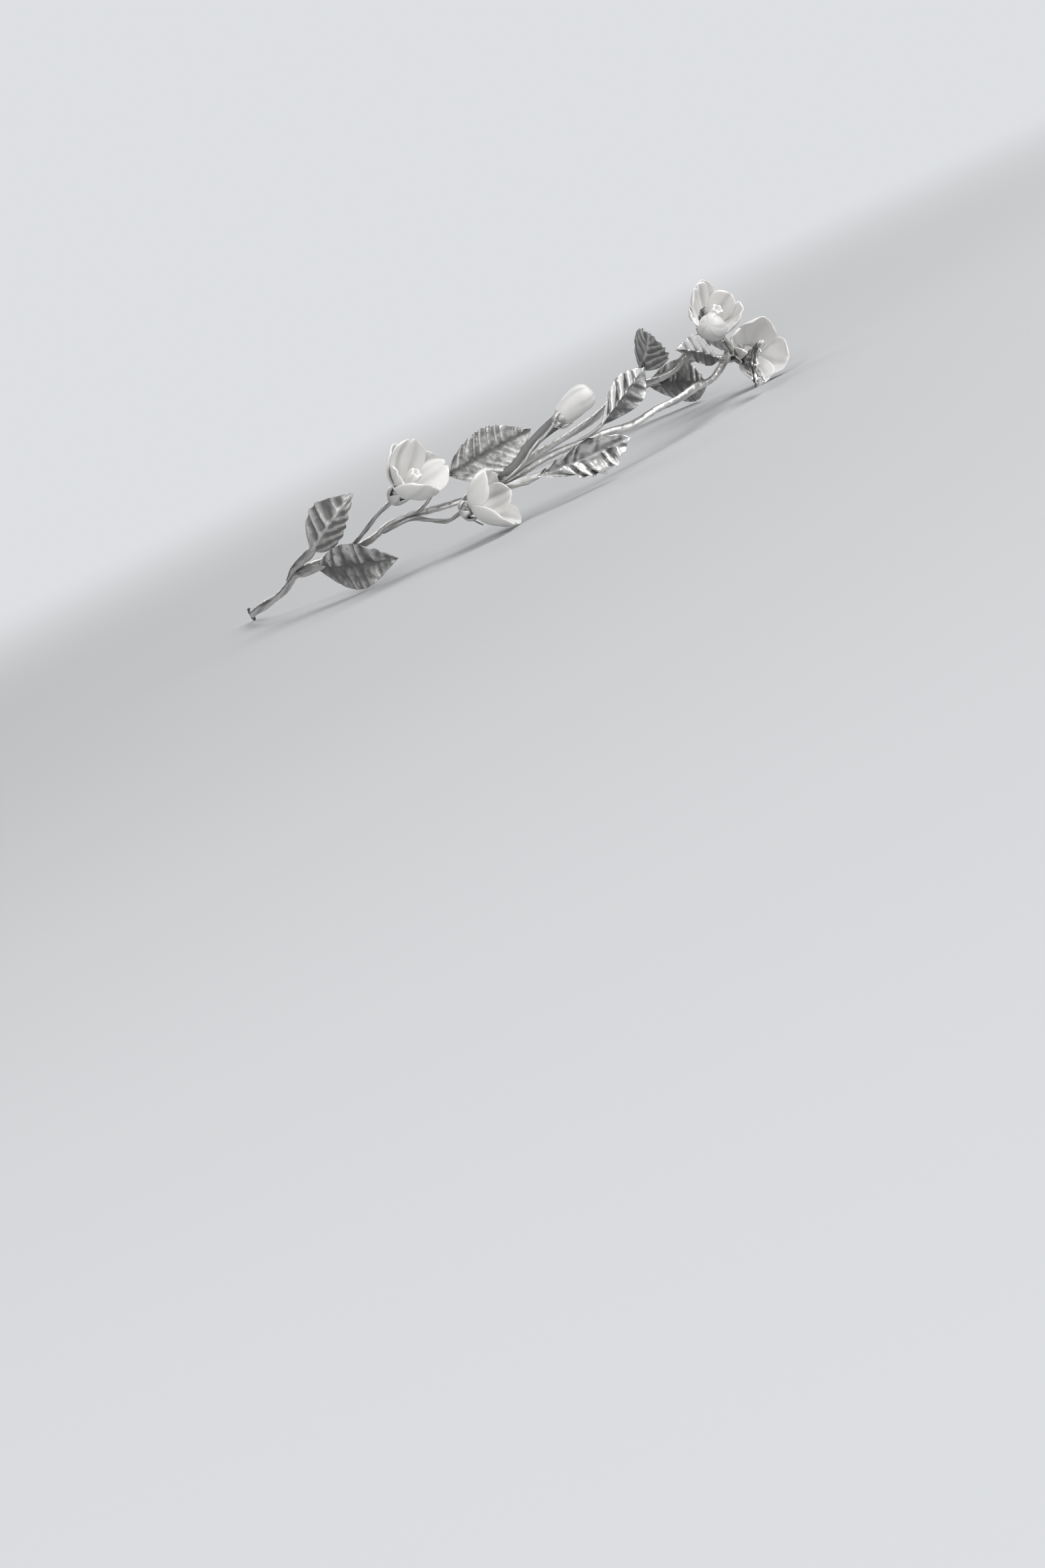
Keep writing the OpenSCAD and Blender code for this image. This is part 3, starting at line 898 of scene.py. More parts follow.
class RibPress(GeometryTree):
    """Presses ribs, grooves and lumps into leaf blades."""

    OUT_OF_STEP = 0.16  # How far a half's veins lie from even places, in parts of their spacing
    FULL_RIB = 0.4 * MM  # Height at which a rib is rubbed as bright as any
    FULL_MIDRIB = 0.3 * MM  # The same for the midrib

    def __init__(self) -> None:
        """Builds the tree: points move along the blade's face, and keep how bright they are rubbed, with each
        half's painted highlight or painted shade.
        """
        super().__init__("pressed ribs", Ribs(8).inputs())
        add, chain, given = self.add, self.chain, self.given
        u, v, side = (add("GeometryNodeInputNamedAttribute", {"Name": n}, data_type="FLOAT")
                      for n in ("along", "across", "side"))
        wide, hand, above = chain("ABSOLUTE", v), chain("SIGN", v), chain("GREATER_THAN", v, 0.0)
        # Lean, rib height and painted highlight or shade of the half that a point is on
        lean_here, rib_here, painted_light_here = (
            add("ShaderNodeMix", {0: above, 2: given[f"Lower {n}"], 3: given[f"Upper {n}"]})
            for n in ("Lean", "Rib", "Wear"))
        # Veins, counted from the base, with their bend, lean and stray places
        along = chain("MULTIPLY ADD ADD", hand, 9.1, chain("MULTIPLY", u, 5.0), given["Seed"])
        drift = add("ShaderNodeTexNoise", {"W": along, "Scale": 1.0, "Detail": 1.0}, "Fac",
                    noise_dimensions="1D")
        stray = chain("SUBTRACT MULTIPLY MULTIPLY", drift, 0.5, 2.0, given["Vein Drift"])
        bend = chain("MULTIPLY MULTIPLY", wide, wide, given["Vein Bend"])
        vein = chain("MULTIPLY SUBTRACT SUBTRACT ADD ADD", u, given["Veins"], bend,
                     chain("MULTIPLY", side, lean_here), stray, chain("MULTIPLY", hand, self.OUT_OF_STEP))
        dip = chain("MULTIPLY COSINE ABSOLUTE POWER", vein, math.pi, given["Groove Sharpness"])
        wave = chain("MULTIPLY ADD", dip, -2.0, 1.0)
        # Ribs, each with its own strength, which fade to the blade's ends and its midrib
        number = chain("FLOOR ADD ADD", vein, chain("MULTIPLY", hand, 57.3), given["Seed"])
        chance = add("ShaderNodeTexWhiteNoise", {"W": number}, "Value", noise_dimensions="1D")
        strength = chain("SUBTRACT MULTIPLY MULTIPLY ADD", chance, 0.5, 2.0, given["Unevenness"], 1.0)
        bow = chain("MULTIPLY SINE SQRT", u, math.pi)
        spread = chain("POWER MULTIPLY ADD", wide, given["Rib Reach"], 0.75, 0.25)
        rib = chain("MULTIPLY MULTIPLY MULTIPLY MULTIPLY", wave, bow, spread, strength, rib_here)
        fine = chain("MULTIPLY COSINE MULTIPLY MULTIPLY", vein, 3 * math.tau, wide, given["Fine Lines"])
        near = chain("DIVIDE POWER MULTIPLY EXPONENT", side, given["Midrib Width"], 2.0, -1.0)
        mid = chain("MULTIPLY MULTIPLY", near, given["Midrib Height"], chain("SUBTRACT", 1.05, u))
        # Hammered lumps
        each_metre = chain("DIVIDE", 1.0, given["Lump Size"])
        here = add("GeometryNodeInputPosition")
        seeded = chain("MULTIPLY ADD", here, each_metre, given["Seed"], kind=VECTORS)
        noise = add("ShaderNodeTexNoise", {"Vector": seeded, "Scale": 1.0, "Detail": 2.0}, "Fac")
        lump = chain("SUBTRACT MULTIPLY", noise, 0.5, 2.0)
        rise = chain("ADD ADD ADD", rib, fine, mid, chain("MULTIPLY", lump, given["Lump Height"]))
        lift = chain("MULTIPLY", given["Face"], rise, kind=VECTORS)
        made = add("GeometryNodeSetPosition", {"Geometry": given["Geometry"], "Offset": lift})
        # What is rubbed bright: full ribs, the tops of lumps, the midrib and the margin; each half also adds
        # its painted highlight or painted shade
        full = chain("DIVIDE MINIMUM", rib_here, self.FULL_RIB, 1.0)
        worn = chain("MULTIPLY MULTIPLY MULTIPLY MULTIPLY", wave, spread, strength, bow, full)
        line = chain("MULTIPLY DIVIDE", near, given["Midrib Height"], self.FULL_MIDRIB)
        margin = chain("SUBTRACT MULTIPLY", wide, 0.5, 0.7)
        relief = chain("ADD ADD ADD ADD", worn, chain("MULTIPLY", lump, 0.6), line, margin, painted_light_here)
        self.close(made, relief=relief)


@dataclass(frozen=True)
class Bench:
    """What the pieces of one side are made with.

    Args:
        hand: The side.
        band: The band that they are bound to.
        mill: Winds their wires.
        press: Presses their leaves.
    """

    hand: Hand
    band: Band
    mill: WireMill
    press: RibPress


@dataclass
class Leaf:
    """A pressed leaf on its stalk.

    Args:
        name: The leaf's name, without its side.
        base: Angle, distance outside and height of the blade's base.
        tip: The same for its tip.
        width: Widest width.
        turn: Turn of the face about the midrib, in degrees.
        fold: How far each half folds up from the midrib, in degrees.
        bow: Bow of the midrib.
        widest: Place of the widest point, in parts of the length.
        stalk: The stalk's path.
        ribs: How its ribs are pressed.
        curl: Curl of the lower and upper margins, in parts of the half width.
        teeth: Depth of the margin's teeth, in parts of the half width.
        spread: Width of the lower and upper half, in parts of the half width.
        full: Fullness of the blade's base, 0.4 for a round base and 1.3 for a long narrow one.
        sheath: Half width of the flat strap that the stalk widens to at the blade, 0 for none.
        finish: The blade's finish.
    """

    name: str
    base: tuple
    tip: tuple
    width: float
    turn: float
    fold: float
    bow: float
    widest: float
    stalk: Stalk
    ribs: Ribs
    curl: tuple = (0.0, 0.0)
    teeth: float = 0.025
    spread: tuple = (1.0, 1.0)
    full: float = 0.9
    sheath: float = 0.0
    finish: PressedSilver = LEAF_SILVER

    def __post_init__(self) -> None:
        """Works out the ends of its midrib."""
        self.start, self.end = OVAL.beside((self.base, self.tip))

    def half(self, u: Array) -> Array:
        """Half width along the blade, pointed at the tip."""
        rise = np.maximum(0, np.sin(np.pi * u ** (math.log(0.5) / math.log(self.widest))))
        return np.maximum(0.12, self.width / 2 * rise ** np.where(u < self.widest, self.full, 0.9))

    def blade(self, name: str, bench: Bench, seed: int) -> Piece:
        """Makes the blade.

        Args:
            name: The object's name.
            bench: What it is made with.
            seed: Makes its unevenness its own.

        Returns:
            The blade as a plain mesh.
        """
        length = np.linalg.norm(self.end - self.start)
        ahead = (self.end - self.start) / length
        level = square_to(OVAL.away((self.start + self.end) / 2), ahead)
        turn, fold = math.radians(self.turn), math.radians(self.fold)
        face = math.cos(turn) * level + math.sin(turn) * np.cross(level, ahead)
        over = np.cross(face, ahead)
        u, v = np.linspace(0, 1, 14 * self.ribs.veins + 1)[:, None], eased(47)
        wide, half = np.abs(v), self.half(u)
        tooth = -np.cos(2 * np.pi * self.ribs.veins * u) * np.sin(np.pi * u) ** 0.5 * self.teeth
        side = wide * half * (1 + tooth * wide ** 2) * np.where(v < 0, *self.spread)
        curl = np.where(v < 0, *self.curl) * wide ** 3 * half
        rise = self.bow * np.sin(np.pi * u) + side * math.sin(fold) + curl
        point = u * length + SHEAR * side * (1 - u) + 0.5 * half * tooth * wide ** 4
        centre = (self.start + point[..., None] * ahead + rise[..., None] * face
                  + (np.sign(v) * side * math.cos(fold))[..., None] * over)
        wall = LEAF_WALL / 2 * (1 - 0.5 * wide ** 12)[..., None] * face
        shape = Shape()
        shape.sheet(centre + wall, centre - wall, along=u, across=v, side=side * MM)
        inputs = self.ribs.inputs(tuple(OVAL.turned(face, bench.hand).tolist()), length)
        return bench.press.grow(shape.make(name, bench.hand, self.finish), inputs, seed, self.finish)

    def build(self, bench: Bench, seed: int) -> None:
        """Makes the blade, the stalk and its strap and puts them in place.

        Args:
            bench: What they are made with.
            seed: Makes their unevenness their own.
        """
        node = f"{bench.hand.word}_{self.name}"
        place(self.blade(f"{node}_blade", bench, seed), node)
        length, radius, out = self.end - self.start, self.stalk.radius, OVAL.away(self.start)
        wire = self.stalk.points(bench.band)
        root = [self.start + t * length - out * (radius - LEAF_WALL / 2) for t in (0.02, 0.12, 0.24)]
        radii = [radius] * (len(wire) + 1) + [radius * 0.8, radius * 0.5]
        path = smooth(np.column_stack([np.vstack([wire, root]), radii]), 6)
        stalk = bench.mill.draw(f"{node}_stalk", bench.hand, path, STALK_WINDING, STEM_TAPE, seed)
        place(stalk, node)
        if self.sheath:
            line = smooth(np.vstack([wire, self.start, self.start + 0.22 * length + 0.8 * out]), 10)
            u = np.linspace(0, 1, len(line))
            half = np.interp(u, [0, 0.3, 0.68, 1], [0.5, 0.7 * self.sheath, self.sheath, 0.25])
            lift = np.interp(u, [0, 0.7, 0.85, 1], [0.7, 0.6, 0.1, -0.9])
            place(cut_strap(f"{node}_strap", bench.hand, line, half, lift, STEM_TAPE), node)


# Flowers and buds


@dataclass
class Bloom:
    """A flower's or bud's place, with its own directions, its calyx and its stem.

    Args:
        name: The CAD node's name, without its side.
        base: Angle, distance outside and height of its base.
        heading: Heading of its axis round the head, in degrees.
        rise: Rise of its axis, in degrees.
        stem: The stem's path.
        sepals: The sepals' number, length, widest width, and lean from the axis at foot and tip.
        seat: Height of the bloom's seat on its calyx, 0 for a flower.
        strap: Half width of the flat strip behind the stem, painted dark as shade, 0 for none.
        whisker: Points of a hair of wire below the calyx, each along the axis and up.
        throat: How much further down the stem the calyx reaches.
    """

    name: str
    base: tuple
    heading: float
    rise: float
    stem: Stalk
    sepals: tuple
    seat: float = 0.0
    strap: float = 0.0
    whisker: tuple = ()
    throat: float = 0.0
    clay: ClassVar[Finish] = CLAY
    low: ClassVar[float] = -3.8  # Height of the calyx's lower end
    foil: ClassVar[float] = 0.16  # Half a sepal's thickness
    boss: ClassVar[float] = 1.35  # Radius of the bud's round boss
    # Folds round the calyx, their slant and their depth, for each set of crumples
    crumples: ClassVar[tuple] = ((5, 0.7, 0.08), (8, -1.9, 0.06), (3, 2.6, 0.07))

    def __post_init__(self) -> None:
        """Works out its directions."""
        self.foot = OVAL.beside(self.base)
        self.axis = pointing(self.heading, self.rise)
        self.x = square_to(np.array([0.0, 0, 1]), self.axis)
        self.y = np.cross(self.axis, self.x)

    def placed(self, x: Array, y: Array, z: Array) -> Array:
        """Points from the bloom's own coordinates."""
        return self.foot + x[..., None] * self.x + y[..., None] * self.y + z[..., None] * self.axis

    def on_axis(self, *heights: float) -> Array:
        """Points on the axis at heights above the foot."""
        return self.foot + np.array(heights)[:, None] * self.axis

    def rings(self, heights: Array, radii: Array) -> Array:
        """Rings of points round the axis, from a column of heights and a grid of radii."""
        angle = circle(radii.shape[1])
        return self.placed(radii * np.cos(angle), radii * np.sin(angle), heights)

    def arch(self, shape: Shape, turn: float, start: tuple, length: float, leans: tuple, u: Array,
             sideways: Array, lift: Array, wall: Array | float, relief: Array) -> None:
        """Adds a petal or sepal that leaves the axis on an arc.

        Args:
            shape: The shells that it is added to.
            turn: Its direction round the axis, in degrees.
            start: Distance from the axis and height of its foot.
            length: Its length.
            leans: Its lean from the axis at the foot and at the tip, in degrees.
            u: Parts of the length.
            sideways: Distance from its middle line.
            lift: How far its middle surface lies from the arc towards the axis.
            wall: Half its thickness.
            relief: How far a place stands proud.
        """
        first, last = (math.radians(lean) for lean in leans)
        bend, now, t = length / (last - first), first + (last - first) * u, math.radians(turn)
        sides = []
        for inward in (lift + wall, lift - wall):
            rho = start[0] + bend * (math.cos(first) - np.cos(now)) - inward * np.cos(now)
            z = start[1] + bend * (np.sin(now) - math.sin(first)) + inward * np.sin(now)
            sides.append(self.placed(rho * math.cos(t) - sideways * math.sin(t),
                                     rho * math.sin(t) + sideways * math.cos(t), z))
        shape.sheet(*sides, relief=relief)

    def fill(self, shape: Shape) -> None:
        """Adds the bloom's own shells.

        Args:
            shape: The shells that they are added to.
        """
        raise NotImplementedError

    def calyx(self, name: str, hand: Hand, seed: int) -> Piece:
        """Makes the crumpled cup, the bud's round boss and the pointed sepals.

        Args:
            name: The object's name.
            hand: The side that it is on.
            seed: Makes its crumples its own.

        Returns:
            The calyx.
        """
        shape = Shape()
        rng = np.random.default_rng(40 + seed)
        phases = rng.uniform(0, 6.28, 4)
        low, angle = self.low - self.throat, circle(48)
        z = np.linspace(low, -0.2, 26)[:, None]
        heights = [low, low + 0.8, -2.3 - 0.5 * self.throat, -1.3, -0.2]
        radius = np.interp(z, heights, [0.75, 1.15, 1.7, 2.0, 2.1])
        crumple = sum(depth * np.cos(folds * angle + phase + slant * z)
                      for (folds, slant, depth), phase in zip(self.crumples, phases))
        shape.skin(self.rings(z + self.seat, radius * (1 + crumple)), relief=crumple * 6)
        if self.seat:
            lap = np.linspace(0.05, 3.09, 20)[:, None]
            out, up = self.boss * np.sin(lap), 2.3 - self.boss * np.cos(lap)
            shape.skin(self.placed(out * np.cos(angle), 1.75 + out * np.sin(angle), up), -0.3)
        count, length, width, foot_lean, tip_lean = self.sepals
        u, v = np.linspace(0, 1, 24)[:, None], eased(17)
        half = np.maximum(0.1, width / 2 * np.sin(np.pi * (0.12 + 0.88 * u) ** 0.75) ** 0.8)
        for k in range(count):
            turn = 360 * (k + 0.5) / count + rng.uniform(-9, 9)
            leans = (foot_lean, tip_lean + rng.uniform(-12, 12))
            rib = 0.14 * bell(v * half, 0, 0.3) - 0.16 * np.cos(6 * v + k) * (1 - u) * u
            lift = 0.4 * half * v ** 2 + rib + 0.2 * np.sin(5 * u + phases[3] + k)
            self.arch(shape, turn, (1.0, self.seat + low + 0.5), length * rng.uniform(0.85, 1.1), leans, u,
                      v * half, lift, self.foil, 4 * rib)
        return shape.make(name, hand, CALYX_SILVER)

    def build(self, bench: Bench, seed: int) -> None:
        """Makes the bloom, its stem, its calyx and what hangs on them, and puts them in place.

        Args:
            bench: What they are made with.
            seed: Makes their unevenness their own.
        """
        hand, mill, node = bench.hand, bench.mill, f"{bench.hand.word}_{self.name}"
        shape = Shape()
        self.fill(shape)
        place(shape.make(f"{node}_petals", hand, self.clay), node)
        node += "_stem"
        bound = self.stem.points(bench.band)
        points = np.vstack([bound, self.on_axis(self.seat - 4 - self.throat, self.seat - 2.6)])
        path = smooth(np.column_stack([points, [self.stem.radius] * (len(points) - 1) + [0.9]]), 6)
        place(mill.draw(f"{node}_wire", hand, path, STEM_WINDING, STEM_TAPE, seed), node)
        place(self.calyx(f"{node}_calyx", hand, seed), node)
        if self.strap:
            line = smooth(np.vstack([bound, self.on_axis(-3, 2.4)]), 8)
            u = np.linspace(0, 1, len(line))
            half = np.interp(u, [0, 0.25, 0.7, 1], [0.5, self.strap, self.strap, 1.35 * self.strap])
            line[:, 2] += 1.3 * np.sin(np.pi * np.minimum(1, 1.1 * u))
            # The strap's dark tape is painted shade
            place(cut_strap(f"{node}_strap", hand, line, half, 0.3 - 0.6 * u, SHADE_PAINTED_TAPE), node)
        if self.whisker:
            forth, up = zip(*self.whisker)
            hair = smooth(self.on_axis(*forth) + np.array([0, 0, 1.0]) * np.array(up)[:, None], 6)
            wire = np.column_stack([hair, np.full(len(hair), 0.2)])
            place(mill.draw(f"{node}_whisker", hand, wire, HAIR_WINDING, DARK_WIRE, seed), node)


@dataclass(frozen=True)
class Petal:
    """One cupped petal of modelling clay.

    Args:
        turn: Direction round the axis.
        length: Its length.
        width: Its widest width.
        foot_lean: Lean from the axis at the foot.
        tip_lean: Lean at the tip.
        inset: How far it lies inside its neighbours.
        folds: Place across, in half widths, and depth of each fold pressed along it.
        notches: Place across and depth of each notch in its end.
        cup: How far its sides curl in, in parts of the half width.
        foot: Width at its foot, in parts of its widest width.
    """

    turn: float
    length: float
    width: float
    foot_lean: float
    tip_lean: float
    inset: float
    folds: tuple
    notches: tuple
    cup: float
    foot: float = 0.3
    thick: ClassVar[float] = 0.8  # Thickness of the clay
    rim_roll: ClassVar[float] = 0.3  # How far the rim rolls outwards
    rim_wave: ClassVar[float] = 0.18  # Height of the rim's waves
    widest: ClassVar[float] = 0.6  # Place of the widest point, in parts of the length

    def add_to(self, shape: Shape, bloom: Bloom) -> None:
        """Adds the petal to a flower.

        Args:
            shape: The flower's shells.
            bloom: The flower's place.
        """
        u, v = np.sin(np.linspace(0, np.pi / 2, 44))[:, None], eased(53)
        foot = self.foot + (1 - self.foot) * np.sin(np.radians(90 / self.widest * np.minimum(u, self.widest)))
        end = np.sqrt(np.maximum(0.16, 1 - ((u - self.widest) / 0.46) ** 2))
        half = self.width / 2 * np.where(u < self.widest, foot, end)
        cut = sum(depth / self.length * bell(v, at, 0.12) for at, depth in self.notches)
        reach = u * (1 - 0.07 * np.abs(v) ** 3 * u ** 5 - cut * u ** 4)
        fade = np.sin(np.pi * np.minimum(1.0, u ** 0.8 * 0.84))
        dent = sum(depth * bell(v, at, 0.17) for at, depth in self.folds) * fade
        rim = self.rim_roll * np.maximum(np.abs(v) ** 6, u ** 9)
        wave = self.rim_wave * np.sin(5.3 * v + self.turn) * u ** 3
        # The petal is wrapped round the axis at its foot and opens to a wide bend at its end
        bend = 1.2 + 30 * u
        rolled = np.clip(v * half / bend, -np.pi / 2, np.pi / 2)
        lift = (half * self.cup * v ** 2 * u - dent - rim + wave + self.inset * np.minimum(1, 3 * u)
                + bend * (1 - np.cos(rolled)))
        wall = self.thick / 2 * np.sqrt(np.maximum(0.1, 1 - np.maximum(np.abs(v) ** 14, u ** 26)))
        # The folds' relief paints shade into them
        bloom.arch(shape, self.turn, (1.1, 0.6), self.length, (self.foot_lean, self.tip_lean), reach,
                   bend * np.sin(rolled), lift, wall, -1.5 * dent)


@dataclass
class Flower(Bloom):
    """An open flower of five petals round a small lobed tube.

    Args:
        petals: The petals.
        tube: Height of the tube.
    """

    petals: tuple = ()
    tube: float = 8.5
    # Height, in parts of the tube's, and radius of the tube from its foot over its rim into its mouth
    profile: ClassVar[tuple] = (
        (0, 0.8), (0.12, 1.0), (0.35, 1.6), (0.62, 1.95), (0.85, 2.1), (0.95, 1.95),
        (0.99, 1.6), (0.98, 1.2), (0.94, 0.85), (0.9, 0.5), (0.89, 0.2))
    slimmed: ClassVar[float] = 0.86  # What the profile's radii are multiplied by

    def fill(self, shape: Shape) -> None:
        """Adds the petals and the tube.

        Args:
            shape: The shells that they are added to.
        """
        for petal in self.petals:
            petal.add_to(shape, self)
        profile, angle = smooth(self.profile, 4), circle(60)
        z, radius = self.tube * profile[:, :1], self.slimmed * profile[:, 1:]
        lobes = (0.17 * np.cos(5 * angle) + 0.06 * np.cos(2 * angle + 1)) * np.clip(z / 6, 0.2, 1)
        shape.skin(self.rings(z, radius * (1 + lobes)), 0.0)


@dataclass
class Bud(Bloom):
    """A closed bud of three petals wrapped over each other.

    Args:
        length: The bud's length.
        width: Its widest diameter.
    """

    length: float = 14.5
    width: float = 8.0
    # The bud's clay is a darker copy of the flowers', as painted shade
    clay: ClassVar[Finish] = SHADE_PAINTED_CLAY
    # Height in parts of the length, and radius in parts of the widest, from the foot to the tip
    profile: ClassVar[tuple] = (
        (0.15, 0.3), (0.16, 0.52), (0.19, 0.7), (0.25, 0.79), (0.4, 0.9), (0.56, 0.97),
        (0.72, 1.0), (0.85, 0.9), (0.93, 0.7), (0.97, 0.45), (0.985, 0.15))

    def fill(self, shape: Shape) -> None:
        """Adds the wrapped petals.

        Args:
            shape: The shells that they are added to.
        """
        profile, angle = smooth(self.profile, 6), circle(96)
        h = np.clip(profile[:, :1], 0, 1)
        part = (3 * angle / (2 * np.pi)) % 1
        lap = np.minimum(part / 0.92, (1 - part) / 0.08) - 0.5
        crease = -0.06 * bell(part, 0.55, 0.08) * h ** 2
        radii = self.width / 2 * profile[:, 1:] * (1 + 0.13 * np.clip(h * 1.5, 0.05, 1) * lap + crease)
        turn = np.radians(70 * h) + angle
        # Creases and the foot of each lap get a low relief, which paints shade into them
        shape.skin(self.placed(radii * np.cos(turn), radii * np.sin(turn), self.length * h),
                   8 * crease + 0.9 * np.minimum(0, lap + 0.3) * np.clip(2 * h, 0, 1))


@dataclass
class EndLoop:
    """The loop of bare wire at the band's end.

    Args:
        bore: Diameter of the hole.
        wire: Diameter of the wire.
        neck: Length of bare wire before the loop.
    """

    bore: float = 2.8
    wire: float = 1.0
    neck: float = 0.8

    def build(self, bench: Bench, seed: int) -> None:
        """Draws the wire out of the band's end, round the hole and back, and puts it in place.

        Args:
            bench: What it is made with.
            seed: Makes its unevenness its own.
        """
        before, tip = OVAL.beside(bench.band.rows[-2:])
        ahead = unit(tip - before)
        side = unit(np.cross(ahead, np.array([0, 0, 1.0])))
        middle = self.bore / 2 + self.wire / 2 - 0.1
        centre = tip + (0.2 + self.neck + middle + self.wire / 2) * ahead
        # Nearly a full turn, which moves sideways by 0.2 mm so that its ends pass each other
        turn = np.radians(np.linspace(172, -168, 40))[:, None]
        ring = (centre + middle * np.cos(turn) * ahead + middle * np.sin(turn) * np.cross(side, ahead)
                + np.linspace(-0.1, 0.1, 40)[:, None] * side)
        path = np.vstack([tip - 0.8 * ahead, tip + 0.3 * ahead, ring, tip + 0.6 * ahead])
        wire = np.column_stack([path, np.full(len(path), self.wire / 2 - 0.03)])
        node = f"{bench.hand.word}_end_loop"
        loop = bench.mill.draw(f"{node}_wire", bench.hand, wire, LOOP_WINDING, DARK_WIRE, seed)
        place(loop, node)


@dataclass(frozen=True)
class Spray:
    """Everything that one side of the headband carries.

    Args:
        stalk: Radius of a leaf's stalk.
        stem: Radius of a flower's or bud's stem.
    """

    stalk: float = 0.55
    stem: float = 0.675

    def leaves(self) -> list[Leaf]:
        """The five leaves of a side."""
        r = self.stalk
        # Where a Ribs has a fourth argument, it is the painted highlight or painted shade of the lower and
        # upper half
        return [
            Leaf("leaf_a", (86.2, 2.2, 10.6), (73.2, -3.4, 20.6), 13.8, 8, 14, 1.2, 0.36,
                 Stalk(((97.5, 35), (94, 40)), ((90, 2.1, 9.3),), r),
                 Ribs(5, (0.5, 0.55), (1.6, 0.5), (0.0, -0.1), sharp=1.5, drift=0.4, uneven=0.2, reach=0.4,
                      midrib=0.42, fine=0.02, lump=0.3, lump_size=3.0),
                 curl=(0.1, 0.12), teeth=0.012, spread=(1.06, 1.0), full=0.38, sheath=1.5,
                 finish=SATIN_SILVER),
            Leaf("leaf_b", (86.5, 2.6, 5.5), (68.5, 3.0, -2.2), 15.0, -4, 12, 1.6, 0.42,
                 Stalk(((97.5, -20), (94, -25)), ((90, 2.5, 5.6),), r),
                 Ribs(7, (0.14, 0.55), (0.5, 0.25), (-0.2, 0.05), sharp=1.5, bend=0.2, drift=1.0, uneven=0.5,
                      reach=0.5, midrib=-0.05, fine=0.01, lump=0.45, lump_size=2.6),
                 teeth=0.008, full=0.7, sheath=1.2, finish=PITTED_SILVER),
            Leaf("leaf_c", (52.8, -1.0, 12.6), (34.0, 0.0, 13.5), 14.0, 4, 10, 1.4, 0.45,
                 Stalk(((64, 12), (61.2, 20)), ((58.2, 2.0, 8.6), (55.6, 0.8, 11.2)), r),
                 Ribs(10, (0.16, 0.85), (1.3, 0.55), sharp=1.4, drift=0.7, uneven=0.7, reach=2.4,
                      midrib=-0.16, fine=0.07, lump=0.26, lump_size=1.8),
                 teeth=0.035, spread=(1.3, 1.0), full=0.45),
            Leaf("leaf_d", (38.6, 2.4, 0.9), (19.6, 12.0, -1.4), 13.4, -24, 14, 1.5, 0.58,
                 Stalk(((47.5, -25), (44, -30)), ((41, 2.3, 1.5),), r),
                 Ribs(6, (1.1, 0.9), (0.5, 1.0), (0.25, 0.0), sharp=1.3, drift=1.1, uneven=0.7, midrib=0.2,
                      fine=0.02, lump=0.9, lump_size=3.2),
                 curl=(-0.1, 0.16), teeth=0.07, full=1.15, sheath=1.4, finish=PAINTED_LIGHT_SILVER),
            Leaf("leaf_e", (20.9, 1.3, 4.9), (5.6, 1.6, 13.8), 10.4, 6, 14, 0.9, 0.48,
                 Stalk(((26.5, 50), (23.6, 52)), (), r),
                 Ribs(5, (0.12, 0.8), (1.0, 1.35), (-0.75, 0.25), sharp=3.2, bend=0.0, drift=0.2, uneven=0.12,
                      reach=0.3, midrib=0.12, fine=0.01, lump=0.3, lump_size=4.0),
                 teeth=0.004, finish=PAINTED_LIGHT_SILVER)]

    def blooms(self) -> list[Bloom]:
        """The two flowers and the bud of a side."""
        r = self.stem
        return [
            Flower("flower_1", (61.2, 6.2, 14.8), -10, 17,
                   Stalk(((83, 20), (78, 30)), ((72.1, 3.3, 9.1), (67.4, 4.7, 11.9)), r),
                   (5, 7.2, 3.9, 48, -4), throat=1.3, tube=9.6, petals=(
                       Petal(333, 15.3, 12.8, 57, 14, 0.5, ((0.42, 0.5), (0.05, -0.4), (-0.4, 0.35)),
                             ((0.1, 0.8),), 0.12, 0.5),
                       Petal(3, 13.4, 9.6, 59, 21, -0.7, ((0.0, 0.3),), (), 0.26, 0.5),
                       Petal(73, 11.9, 9.6, 61, 14, 0.9, ((0.0, 0.35),), (), 0.06, 0.46),
                       Petal(146, 14.6, 13.8, 64, -15, -0.1, ((0.5, 0.3), (-0.3, 0.3)),
                             ((0.5, 0.2),), 0.2, 0.78),
                       Petal(260, 14.9, 13.5, 57, 33, 0.1, ((0.62, 0.6), (0.36, -0.4), (-0.2, 0.35)),
                             ((0.56, 0.9), (-0.1, 0.9)), 0.28, 0.26))),
            Flower("flower_2", (50.7, 8.0, 1.7), -25, 2,
                   Stalk(((70, -50), (66, -45), (62.5, -40)), ((58.9, 3.4, 3.2), (55.9, 5.4, 1.1)), r),
                   (5, 5.4, 3.2, 80, -8), tube=2.6,
                   whisker=((-2.0, -2.0), (-0.9, -3.8), (0.2, -5.2), (1.1, -6.2)), petals=(
                       Petal(44, 14.4, 12.5, 59, 3, -0.6, ((0.1, 0.15),), (), 0.56, 0.65),
                       Petal(146, 15.0, 15.6, 73, 10, 0.0, ((0.0, 0.3),), (), 0.28, 0.45),
                       Petal(198, 14.5, 11.0, 69, 32, 1.0, ((0.3, 0.5), (-0.35, 0.3)),
                             ((0.1, 0.5),), 0.5, 0.5),
                       Petal(243, 12.3, 10.0, 46, -20, 0.0, ((0.35, 0.5), (-0.4, 0.3)), (), 0.18, 0.4),
                       Petal(320, 11.4, 10.6, 55, 15, -0.3, ((0.0, 0.4),), ((-0.3, 0.5),), 0.32, 0.4))),
            Bud("bud", (29.5, 2.4, 11.6), -54, 17,
                Stalk(((47.5, 35), (43.5, 35)), ((39.5, 2.2, 5.1), (36, 2.0, 8.0)), r),
                (3, 5.2, 1.4, 62, 8), seat=2.9, strap=1.6)]

